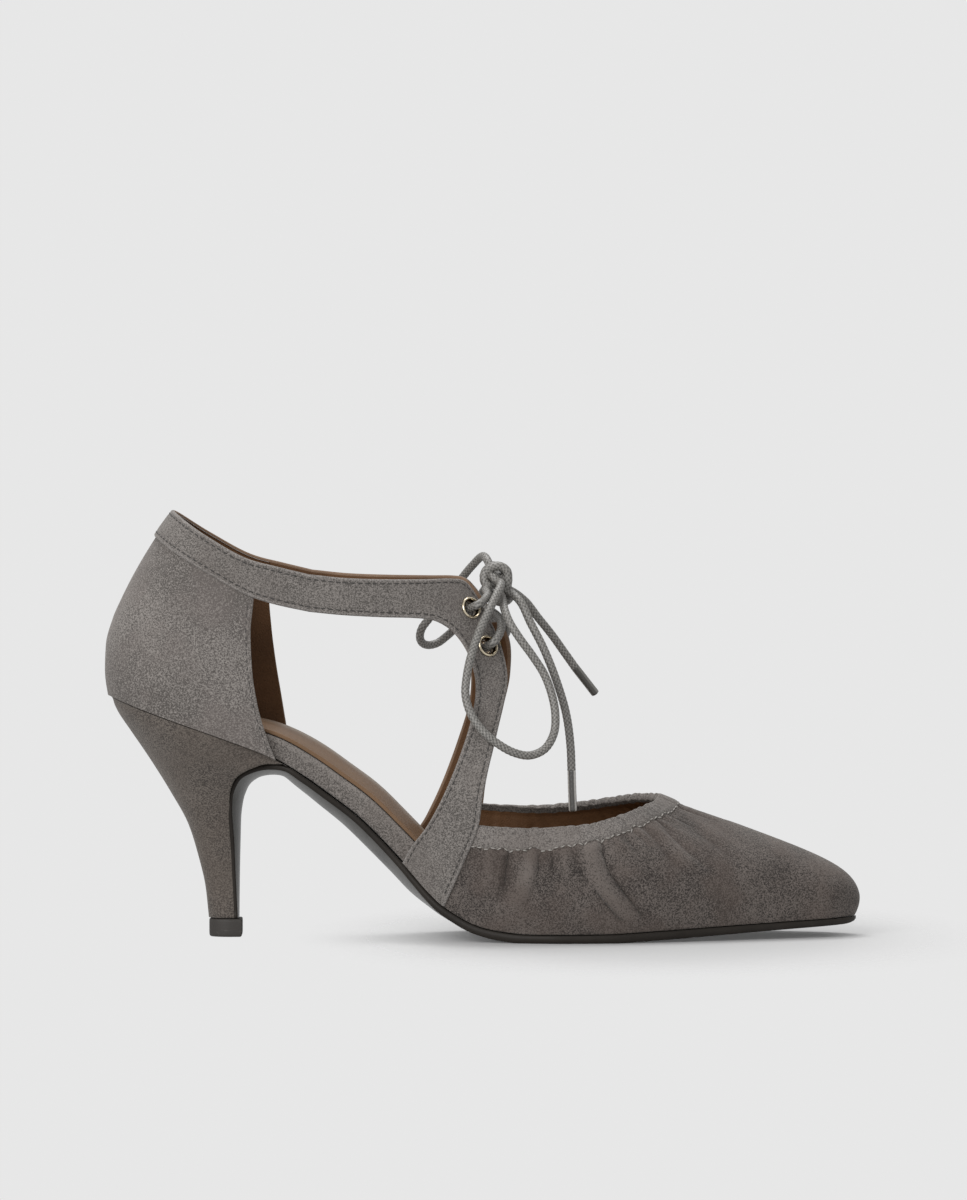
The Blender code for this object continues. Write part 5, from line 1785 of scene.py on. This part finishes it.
# Edge thickness and crown of the sole by the way along it from the flap's end.
EDGE = Table(("way", "edge", "crown"), (
    (0.0, 1.2, 0.4),
    (12.0, 1.2, 1.1),
    (26.0, 1.3, 1.9),
    (36.0, 1.3, 2.9),
    (43.0, 1.4, 3.6),
    (48.0, 1.5, 3.5),
    (55.0, 1.6, 2.6),
    (62.0, 1.7, 2.5),
    (75.0, 1.8, 3.2),
    (100.0, 1.9, 4.0),
    (122.0, 2.0, 3.2),
    (133.0, 2.3, 1.4),
    (146.0, 2.6, 0.3),
    (160.0, 2.8, 0.0),
    (200.0, 2.8, 0.0),
    (240.0, 2.4, 0.0),
    (290.0, 1.7, 0.0),
))


@dataclass
class Outsole:
    """Thin leather sole: forefoot, crowned waist and the flap down the heel's breast."""

    form: Form
    welt_waist: float = 0.7
    welt_forefoot: float = 2.2
    bevel: float = 0.5
    crown_power: float = 2.4
    finer: int = 5
    top_points: int = 9
    bottom_points: int = 27
    rim: float = 0.35
    nose: float = 0.4
    end_round: float = 4.6
    end_thin: float = 0.9
    welt_grows: Pair = (92.0, 112.0)

    def line(self) -> tuple[Array, Array]:
        """Upper face in side view with its middle and half width, from the flap's end to the toe.

        Returns:
            The way along the sole, and the place, height, middle and half width there.
        """
        form = self.form
        x = np.concatenate([np.linspace(66.0, 124.0, 15), np.linspace(130.0, 236.0, 17)])
        tip = form.toe_x - form.toe_round * (1 - np.sin(np.linspace(0.15, 0.497, 8) * math.pi))
        x = np.concatenate([x, tip])
        welt = self.welt_waist + (self.welt_forefoot - self.welt_waist) * ramp(x, *self.welt_grows)
        fore = np.stack([x, LAST.at("z", x), LAST.at("centre", x), form.half(x) + welt], axis=1)
        level = np.zeros(len(FLAP.rows))
        rear = np.stack([FLAP.column("x"), FLAP.column("z"), level, FLAP.column("half")], axis=1)
        rows = np.concatenate([rear, fore])
        way = travelled(rows[:, :2])
        index = np.linspace(0.0, len(way) - 1.0, self.finer * len(way))
        dense = np.interp(index, np.arange(len(way)), way)
        line = catmull(dense, way, rows)
        turn = np.linspace(0.0, math.pi / 2, 9)[1:, None]
        nose = np.repeat(line[-1:], len(turn), axis=0)
        nose[:, :1] += self.nose * np.sin(turn)
        nose[:, 3:] *= np.maximum(np.cos(turn), 0.12)
        way = np.concatenate([dense, dense[-1] + self.nose * np.sin(turn[:, 0])])
        return way, np.concatenate([line, nose])

    def build(self, shop: Workshop) -> None:
        """Sections across the way: flat above, softened at the edge, crowned below, flat on the floor.

        Args:
            shop: Makes and dresses the pieces.
        """
        way, line = self.line()
        tangent = unit(np.gradient(line[:, :2], axis=0))
        x, z, centre, half = (line[:, k : k + 1] for k in range(4))
        near_end = self.end_thin * np.clip(1 - (way[-1] - way) / self.end_round, 0.0, 1.0)[:, None]
        rim = EDGE.at("edge", way)[:, None] * np.sqrt(1 - near_end**2)
        crown = EDGE.at("crown", way)[:, None]
        top = np.linspace(-1.0, 1.0, self.top_points)[None, :]
        low = np.linspace(1.0, -1.0, self.bottom_points)[None, :]
        soft = np.minimum(self.rim, half / 3)
        inset = np.minimum(self.bevel, half / 2)
        depth_low = rim + crown * (1 - np.abs(low) ** self.crown_power)
        across = np.concatenate([top * (half - soft), half + 0 * x, half - inset * 0.35, low * (half - inset),
                                 -(half - inset * 0.35), -half + 0 * x], axis=1)
        depth = np.concatenate([0.0 * top + 0 * x, soft * 0.7 + 0 * x, rim - 0.5 * soft, depth_low,
                                rim - 0.5 * soft, soft * 0.7 + 0 * x], axis=1)
        points = np.stack([x + tangent[:, 1:] * depth, centre + across,
                           np.maximum(z - tangent[:, :1] * depth, 0.0)], axis=-1)
        sides = points.shape[1]
        ring = np.arange(sides) * len(way)
        kinds = np.repeat([0, 1, 0, 1], [self.top_points - 1, 3, self.bottom_points - 1, 3])
        patch = Patch.grid(points.transpose(1, 0, 2), close_rows=True, finish=kinds)
        patch = patch.capped(ring, ring + len(way) - 1, finish=1).outward()
        shop.piece("outsole_leather", patch, (SOLE, SOLE_EDGE), ("outsole",))


@dataclass
class Bed:
    """Suede-wrapped board inside the upper and the leather sock on it."""

    form: Form
    sock_thick: float = 1.2
    lift: float = 0.45
    inset: float = 0.4
    sock_inset: float = 0.6
    corner: float = 0.8
    square: float = 0.4
    sock_crown: float = 0.55
    # Painted light along the board's upper edge under the sock.
    rim_painted_light: float = 0.3
    places: int = 170
    across: int = 25
    rim: int = 12
    painted_light_share: Pair = (0.6, 0.95)
    painted_sheen_share: Pair = (0.0, 0.9)
    painted_sheen_from: Pair = (40.0, 62.0)
    painted_sheen_to: Pair = (92.0, 112.0)
    board_ends: Pair = (0.6, 1.6)
    sock_ends: Pair = (1.8, 2.6)

    def solid(self, first: float, final: float, low: Callable[[Array], Array], high: Callable[[Array], Array],
              inset: float, crown: float | None = None) -> Patch:
        """Sections square to the last's bottom line: rounded bars between two heights above it.

        Args:
            first: Place of the first section.
            final: Place of the last section.
            low: Height of the lower face at places.
            high: Height of the upper face.
            inset: How far the edge lies inside the last's.
            crown: Rise of a sock's middle over its edges, which banks both faces; none for the board.

        Returns:
            The closed solid.
        """
        t = np.linspace(0.0, 1.0, self.places)
        x = first + (final - first) * (t - 0.85 * np.sin(2 * math.pi * t) / (2 * math.pi))
        rise = np.gradient(LAST.at("z", x), x)
        normal = unit(np.stack([-rise, np.ones_like(x)], axis=1))
        half = np.maximum(self.form.half(x) - inset, 0.4)[:, None]
        bottom, top = low(x)[:, None], high(x)[:, None]
        soft = np.minimum(np.minimum((top - bottom) / 2, half * 0.45), self.corner)
        turn = np.linspace(-math.pi / 2, math.pi / 2, self.rim + 2)[None, 1:-1]
        bar = np.linspace(-1.0, 1.0, self.across)[None, :] * (half - soft)
        bulge = half - soft + soft * np.cos(turn) ** self.square
        middle = (bottom + top) / 2
        curl = middle + (top - bottom) / 2 * np.sin(turn)
        across = np.concatenate([bar, bulge, bar[:, ::-1], -bulge[:, ::-1]], axis=1)
        height = np.concatenate([bottom + 0 * bar, curl, top + 0 * bar, curl[:, ::-1]], axis=1)
        raised = np.clip((height - bottom) / (top - bottom), 0.0, 1.0)
        share = across / half
        bank = LAST.at("bank", x)[:, None]
        if crown is None:
            # The board's upper edge is painted lighter where the sock shades it: painted light.
            crease = self.rim_painted_light * ramp(raised, *self.painted_light_share)
            height = height + bank * share * raised
        else:
            # Painted sheen: the sock goes paler towards its medial edge along the waist.
            crease = ramp(share, *self.painted_sheen_share) * ramp(x, *self.painted_sheen_from)[:, None]
            crease = crease * (1 - ramp(x, *self.painted_sheen_to))[:, None]
            height = height + bank * (share + crown * (1 - share**2))
        points = np.stack([x[:, None] + normal[:, :1] * height, LAST.at("centre", x)[:, None] + across,
                           LAST.at("z", x)[:, None] + normal[:, 1:] * height], axis=-1)
        sides = points.shape[1]
        ring = np.arange(sides)
        patch = Patch.grid(points, close_cols=True, crease=crease)
        return patch.capped(ring, ring + (self.places - 1) * sides).outward()

    def build(self, shop: Workshop) -> None:
        """The board, then the sock on it.

        Args:
            shop: Makes and dresses the pieces.
        """
        form = self.form
        board = self.solid(form.seat_back_x + self.board_ends[0], form.toe_x - self.board_ends[1],
                           lambda x: 0.0 * x + self.lift,
                           lambda x: LAST.at("pad", x) - self.sock_thick - form.gap, self.inset)
        shop.piece("footbed_wrap", board, (WRAP_GREY,), ("footbed",))
        sock = self.solid(form.seat_back_x + self.sock_ends[0], form.toe_x - self.sock_ends[1],
                          lambda x: LAST.at("pad", x) - self.sock_thick,
                          lambda x: LAST.at("pad", x), self.inset + self.sock_inset, self.sock_crown)
        shop.piece("sock_lining", sock, (SOCK,), ("insole",))


@dataclass
class EyeletSet:
    """Four rolled metal eyelets in the tabs."""

    form: Form
    bore: float = 2.5
    barrel: float = 3.0
    flange: float = 3.7
    lip: float = 2.85
    segments: int = 56
    roll: float = 0.6
    # Profile rows inside the barrel that take the painted shade.
    barrel_rows: tuple[int, int] = (12, 13)

    def profile(self) -> Array:
        """Closed line of radius and height: rolled rim outside, barrel, and a flatter rim inside.

        Returns:
            Radius and height of each point.
        """
        gap = self.form.gap
        back = self.form.strap_inner - self.form.strap_outer
        turn = np.linspace(0.0, math.pi, 13)
        middle, reach = (self.flange + self.lip) / 2, (self.flange - self.lip) / 2
        rolled = np.stack([middle + reach * np.cos(turn), gap + self.roll * np.sin(turn)], axis=1)
        inner = np.array([
            (self.bore, gap - 0.4), (self.bore, back - 1.1), (self.bore + 0.2, back - 1.3),
            (self.flange - 0.4, back - 1.3), (self.flange - 0.2, back - 1.05),
            (self.flange - 0.4, back - 0.8), (self.barrel, back - 0.7), (self.barrel, gap - 0.1)])
        return np.concatenate([rolled, inner])

    def build(self, shop: Workshop) -> None:
        """Each eyelet turned about its tab's normal.

        Args:
            shop: Makes and dresses the pieces.
        """
        line = self.profile()
        kinds = np.isin(np.arange(len(line)), self.barrel_rows).astype(int)
        for name, (side, x, z) in EYELETS.items():
            centre, normal = self.form.tab_frame(side, x, z)
            spoke = spokes(normal, self.segments)
            points = centre + line[None, :, :1] * spoke[:, None, :] + line[None, :, 1:] * normal
            patch = Patch.grid(points.transpose(1, 0, 2), close_rows=True, close_cols=True, finish=kinds)
            shop.piece("eyelet_ring_" + name, patch.outward(), (GOLD, GOLD_PAINTED_SHADE),
                       ("eyelet_" + name,))


@dataclass(frozen=True)
class Braid:
    """Round braided cord: strands wind both ways and pass over and under each other."""

    diameter: float = 2.8
    sides: int = 36
    step: float = 0.25
    strands: int = 6
    turn_length: float = 8.8
    relief: float = 0.075
    end_round: float = 0.4

    def sweep(self, route: Sequence[Sequence[float]] | Array, relief: float | None = None,
              diameter: float | None = None, ends_round: bool = False) -> tuple[Patch, Array]:
        """A ring carried along a smooth route without twist, its radius raised where strands lie on top.

        The rings' first spokes are square to the route and to y; the turn that this gives them over
        a step beyond the least turn of the route is summed up and taken back. A strand's height is
        half of one and a cosine, and the strands that wind one way lie on top where a cosine of half
        the sum of both windings is positive.

        Args:
            route: Points that the cord follows.
            relief: Share of the radius that the strands stand out, or the braid's own.
            diameter: Another outer diameter, or none.
            ends_round: Whether the ends are rounded off.

        Returns:
            The closed tube and its middle line.
        """
        relief = self.relief if relief is None else relief
        radius = (self.diameter if diameter is None else diameter) / 2
        length = travelled(along(route, 400))[-1]
        line = along(route, max(8, int(length / self.step)))
        ahead = unit(np.gradient(line, axis=0))
        first = unit(np.cross(ahead, (0.13, 0.97, 0.2)))
        second = np.cross(ahead, first)
        fold = np.sum(first[:-1] * ahead[1:], axis=1, keepdims=True)
        bend = 1 + np.sum(ahead[:-1] * ahead[1:], axis=1, keepdims=True)
        carried = first[:-1] - fold / bend * (ahead[:-1] + ahead[1:])
        twist = np.arctan2(np.sum(carried * second[1:], axis=1), np.sum(carried * first[1:], axis=1))
        lag = np.concatenate(([0.0], np.cumsum(twist)))[:, None]
        around = np.linspace(0.0, 1.0, self.sides, endpoint=False)[None, :]
        angle = 2 * math.pi * around + lag
        way = travelled(line)[:, None]
        right = 2 * math.pi * self.strands * (around + way / self.turn_length)
        left = 2 * math.pi * self.strands * (around - way / self.turn_length)
        over = np.cos((right + left) / 2) * np.cos((right - left) / 2)
        high = 0.25 * ((1 + over) * (1 + np.cos(right)) + (1 - over) * (1 + np.cos(left)))
        size = radius * (1 - relief * (1 - high))
        if ends_round:
            end = np.minimum(way, way[-1] - way) / (radius * self.end_round)
            size = size * np.sqrt(np.clip(1 - (1 - np.minimum(end + 0.15, 1.0)) ** 2, 0.02, 1.0))
        spoke = np.cos(angle)[..., None] * first[:, None] + np.sin(angle)[..., None] * second[:, None]
        points = line[:, None] + spoke * size[..., None]
        count = len(line)
        shares = np.linspace(0.0, 1.0, self.sides + 1)
        uv = np.stack(np.broadcast_arrays(shares[None, :], way), axis=-1)
        ring = np.arange(self.sides)
        patch = Patch.grid(points, close_cols=True, uv=uv, crease=high)
        return patch.capped(ring, ring + (count - 1) * self.sides).outward(), line


@dataclass(frozen=True)
class Knot:
    """The knot of the bow: an egg with named seats where strands leave it."""

    centre: tuple[float, float, float] = KNOT_CENTRE
    half: tuple[float, float, float] = (4.6, 4.8, 5.4)
    gap: float = 0.5
    run: float = 2.6
    seats: tuple[tuple[str, tuple[float, float, float]], ...] = (
        ("lateral_held", (-0.35, -0.88, -0.32)),
        ("medial_held", (-0.35, 0.88, -0.32)),
        ("lateral_out", (0.25, -0.95, -0.02)),
        ("lateral_back", (0.30, -0.75, -0.59)),
        ("medial_out", (-0.25, 0.62, 0.74)),
        ("medial_back", (0.25, 0.90, 0.20)),
        ("long", (0.74, -0.46, -0.49)),
        ("short", (0.74, 0.52, -0.42)),
    )

    def seat(self, name: str) -> list[Array]:
        """Where a strand leaves: a little off the egg, then straight out along its normal.

        Args:
            name: The seat's name.

        Returns:
            The strand's first two points.
        """
        direction = unit(np.array(dict(self.seats)[name]))
        normal = unit(direction / np.array(self.half))
        first = np.array(self.centre) + direction * np.array(self.half) + normal * self.gap
        return [first, first + normal * self.run]

    def route(self, points: Sequence[Any]) -> list[Any]:
        """Points of a strand, with a seat's name at its start, and at its end, filled in.

        Args:
            points: Seat names, and places between them.

        Returns:
            The places alone.
        """
        first, *rest = points
        if isinstance(rest[-1], str):
            return self.seat(first) + rest[:-1] + self.seat(rest[-1])[::-1]
        return self.seat(first) + rest


# The free strands of the bow, between named seats on the knot.
CORD_ROUTES: dict[str, tuple[Any, ...]] = {
    "lace_loop_lateral": (
        "lateral_out",
        (127.9, -17.6, 110.4), (124.9, -22.6, 104.4), (121.8, -26.8, 96.4),
        (119.7, -30.2, 88.0), (119.2, -32.6, 80.6), (121.3, -34.6, 74.2), (125.3, -35.7, 68.9),
        (129.8, -35.8, 65.2), (134.8, -34.8, 62.4), (139.9, -32.6, 61.3), (144.9, -29.8, 63.2),
        (148.0, -27.0, 68.2), (148.5, -24.8, 74.6), (147.4, -22.8, 80.6), (144.8, -21.4, 87.5),
        (140.9, -21.0, 93.6), (136.8, -20.6, 99.2), (133.6, -18.8, 104.2), (132.0, -15.0, 108.0),
        (131.4, -10.6, 110.4),
        "lateral_back",
    ),
    "lace_loop_medial": (
        "medial_out",
        (124.9, 9.6, 125.2), (121.2, 15.8, 121.8), (115.8, 22.4, 115.0), (110.8, 26.2, 109.2),
        (106.7, 27.1, 103.7), (104.5, 27.8, 100.7), (103.8, 29.7, 97.8), (104.65, 32.3, 95.6),
        (106.8, 34.95, 94.8), (109.7, 36.9, 95.5), (112.6, 37.6, 97.6), (117.6, 35.9, 102.6),
        (122.4, 30.4, 109.2), (126.4, 22.6, 115.4), (129.0, 14.2, 119.2),
        "medial_back",
    ),
    "lace_end_long": (
        "long",
        (137.0, -7.0, 110.8), (140.4, -10.2, 104.0),
        (144.8, -13.2, 95.4), (149.0, -15.2, 84.8), (152.2, -16.4, 73.8), (153.6, -16.8, 63.0),
        (153.9, -16.8, 55.6),
    ),
    "lace_end_short": (
        "short",
        (138.8, 5.8, 110.4), (143.0, 7.6, 105.0),
        (147.6, 9.4, 99.2), (152.0, 10.8, 93.0), (155.4, 11.8, 88.2),
    ),
}
# The wrapped tips, each from a little inside its strand's end.
TIP_ROUTES: dict[str, Rows] = {
    "lace_tip_long": ((153.9, -16.8, 55.9), (154.1, -16.8, 49.0), (154.4, -16.8, 42.0)),
    "lace_tip_short": ((155.2, 11.75, 88.45), (158.9, 12.7, 83.7), (162.3, 13.6, 79.3)),
}
# The wraps of the knot, each with its thickness.
KNOT_ROUTES: tuple[tuple[float, Rows], ...] = (
    (3.0, ((126.8, -5.2, 115.3), (125.3, -4.6, 117.4), (125.6, -3.9, 119.8), (127.8, -3.4, 121.7),
           (130.5, -3.2, 122.2), (132.6, -3.1, 120.8), (133.1, -3.1, 118.0), (132.5, -3.0, 114.4))),
    (3.0, ((126.8, 4.2, 115.3), (125.2, 3.2, 117.6), (125.8, 2.0, 120.6), (128.4, 1.2, 122.3),
           (131.2, 0.8, 121.6), (132.9, 1.0, 119.2), (133.0, 1.8, 116.6), (132.7, 2.4, 114.6))),
    (2.8, ((129.8, -5.5, 117.1), (128.4, -4.9, 118.5), (127.0, -3.4, 119.5), (126.9, -1.0, 120.8),
           (127.0, 1.2, 121.5), (127.3, 2.8, 121.6))),
    (2.8, ((130.1, -4.5, 113.7), (131.0, -3.4, 115.4), (131.2, -1.6, 117.4), (130.8, 1.0, 118.6),
           (130.2, 3.2, 118.6), (129.9, 4.5, 118.4))),
    (3.0, ((126.6, -2.4, 113.6), (128.4, -3.2, 111.3), (131.2, -3.0, 110.4), (133.5, -0.9, 111.6),
           (133.0, 2.2, 114.2))),
    (5.6, ((127.5, -0.6, 115.4), (128.8, -0.4, 117.4), (129.9, -0.2, 119.4))),
)


@dataclass
class Lace:
    """The lace: run through the eyelets, knot, two loops, two ends and their wrapped tips."""

    form: Form
    braid: Braid = field(default_factory=Braid)
    knot: Knot = field(default_factory=Knot)
    tip_diameter: float = 2.8
    tip_relief: float = 0.035
    far_ends: dict[str, str] = field(default_factory=lambda: {
        "lace_loop_lateral": "object", "lace_loop_medial": "object",
        "lace_end_long": "bare", "lace_end_short": "bare"})
    tips: dict[str, str] = field(default_factory=lambda: {
        "lace_end_long": "lace_tip_long", "lace_end_short": "lace_tip_short"})

    def held_route(self) -> list[Any]:
        """From the knot through the upper and lower eyelets of both tabs and back to the knot.

        Returns:
            The points of the run, in order.
        """
        hole = {name: self.form.tab_frame(*place) for name, place in EYELETS.items()}

        def through(name: str, first: float, final: float) -> list[Array]:
            """Points straight through one eyelet, at distances out from its face."""
            centre, normal = hole[name]
            return [centre + normal * out for out in np.linspace(first, final, 4)]

        held = self.knot.seat
        return [
            *held("lateral_held"), (126.4, -11.6, 113.2), (125.2, -15.8, 111.4),
            *through("lateral_upper", 4.0, -4.0),
            (121.6, -4.6, 106.4), (126.4, -0.4, 105.0), (130.4, 3.6, 105.0), (132.8, 8.6, 104.8),
            (133.2, 13.2, 103.2), *through("medial_lower", 4.2, -4.2), (123.4, 5.0, 95.4),
            (122.8, 0.0, 95.4), (122.2, -4.6, 95.4), *through("lateral_lower", -4.2, 3.4),
            (130.2, -17.8, 100.4), (130.8, -13.2, 104.0), (129.4, -7.0, 106.2), (126.6, -1.4, 107.8),
            (122.6, 4.6, 108.6), *through("medial_upper", -4.0, 4.0),
            (126.6, 16.2, 111.4), (127.4, 11.8, 113.2), *held("medial_held")[::-1],
        ]

    def free(self, shop: Workshop) -> None:
        """The loops and ends, each swept as a braided cord, with wrapped tips on the two ends.

        Args:
            shop: Makes and dresses the pieces.
        """
        for node, route in CORD_ROUTES.items():
            patch, line = self.braid.sweep(self.knot.route(route))
            cord = shop.piece(node.replace("lace", "bow"), patch, (LACE,), (node,))
            if node in self.tips:
                tip = self.tips[node]
                wrap, _ = self.braid.sweep(TIP_ROUTES[tip], self.tip_relief, self.tip_diameter, True)
                # The short tip takes the darker copy of the wrap: painted shade.
                finish = TIP if node == "lace_end_long" else PAINTED_SHADE_TIP
                shop.piece(tip.replace("lace", "bow"), wrap, (finish,), (tip,))

    def build(self, shop: Workshop) -> None:
        """The free lengths first, then the held run and the knot.

        Args:
            shop: Makes and dresses the pieces.
        """
        self.free(shop)
        run, _ = self.braid.sweep(self.held_route())
        shop.piece("lace_run", run, (LACE,), ("lace_crossing",))
        knot = Patch.join([self.braid.sweep(route, None, thick)[0] for thick, route in KNOT_ROUTES])
        shop.piece("bow_knot", knot, (LACE,), ("lace_knot",))


@dataclass(frozen=True)
class Lamp:
    """A soft square lamp: place, aim, side and power."""

    name: str
    place: Colour
    aim: Colour
    side: float
    power: float


@dataclass
class Studio:
    """Camera at the photograph's angle, pale floor, even backdrop and soft lamps."""

    aim: tuple[float, float, float] = (0.0001, 0.0, 0.111)
    distance: float = 2.8
    elevation: float = 1.85
    frame_width: float = 0.319
    image: tuple[int, int] = (967, 1200)
    sensor: float = 36.0
    floor_size: float = 2.0
    floor_below: float = 0.02
    floor_squares: int = 8
    backdrop: float = 0.80
    ambient: float = 0.50
    lamps: tuple[Lamp, ...] = (
        Lamp("lamp_front", (-0.9, -1.7, 0.9), (0.0, 0.0, 0.06), 1.2, 23.5),
        Lamp("lamp_above", (-0.1, 0.45, 1.4), (0.0, 0.0, 0.05), 0.7, 10.0),
    )

    def camera(self) -> None:
        """A long lens, level turned down by the elevation; the frame's height gives the lens."""
        height = self.frame_width * self.image[1] / self.image[0]
        data = bpy.data.cameras.new("camera")
        data.sensor_width = self.sensor
        data.lens = self.sensor * self.distance / height
        data.clip_start, data.clip_end = 0.05, 50.0
        camera = bpy.data.objects.new("camera", data)
        tilt = math.radians(self.elevation)
        camera.location = (self.aim[0], self.aim[1] - self.distance * math.cos(tilt),
                           self.aim[2] + self.distance * math.sin(tilt))
        camera.rotation_euler = (math.pi / 2 - tilt, 0.0, 0.0)
        bpy.context.scene.collection.objects.link(camera)
        bpy.context.scene.camera = camera

    def light(self) -> None:
        """Even world light and the soft lamps."""
        scene = bpy.context.scene
        world = bpy.data.worlds.new("studio")
        scene.world = world
        world.use_nodes = True
        nodes, links = world.node_tree.nodes, world.node_tree.links
        back = nodes["Background"]
        seen = nodes.new("ShaderNodeLightPath")
        strength = nodes.new("ShaderNodeMapRange")
        strength.inputs["To Min"].default_value = self.ambient
        strength.inputs["To Max"].default_value = self.backdrop
        links.new(seen.outputs["Is Camera Ray"], strength.inputs["Value"])
        back.inputs["Color"].default_value = (1.0, 1.0, 1.0, 1.0)
        links.new(strength.outputs["Result"], back.inputs["Strength"])
        for lamp in self.lamps:
            data = bpy.data.lights.new(lamp.name, "AREA")
            data.size, data.energy = lamp.side, lamp.power
            obj = bpy.data.objects.new(lamp.name, data)
            obj.location = lamp.place
            away = np.array(lamp.place) - np.array(lamp.aim)
            obj.rotation_euler = (math.acos(away[2] / np.linalg.norm(away)), 0.0,
                                  math.atan2(away[1], away[0]) + math.pi / 2)
            scene.collection.objects.link(obj)
        scene.view_settings.view_transform = "Standard"

    def floor(self, shop: Workshop) -> None:
        """A level floor in fine squares.

        Args:
            shop: Makes and dresses the pieces.
        """
        step = np.linspace(-self.floor_size, self.floor_size, self.floor_squares + 1) / MM
        x, y = np.meshgrid(step, step)
        points = np.stack([x, y, 0.0 * x], axis=-1) - shop.shift / MM
        points[..., 2] = -self.floor_below
        shop.mesh("studio_floor", Patch.grid(points), (FLOOR,))

    def build(self, shop: Workshop) -> None:
        """Camera, light and floor.

        Args:
            shop: Makes and dresses the pieces.
        """
        self.camera()
        self.light()
        self.floor(shop)


def main() -> None:
    """Loads the frame, places the shoe's own frame by the knot's box, and builds the studio and the shoe's
    pieces in order.
    """
    logging.basicConfig(level=logging.INFO, format="%(message)s")
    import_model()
    low, high = (np.array(corner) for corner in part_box("lace_knot"))
    shop = Workshop((low + high) / 2 - np.array(KNOT_CENTRE) * MM)
    form = Form()
    Studio().build(shop)
    for part in (Lace(form), EyeletSet(form), Outsole(form), Heel(form), Bed(form),
                 Counter(form), Strap(form), Vamp(form)):
        part.build(shop)
        log.info("%s done", type(part).__name__)


if __name__ == "__main__":
    main()
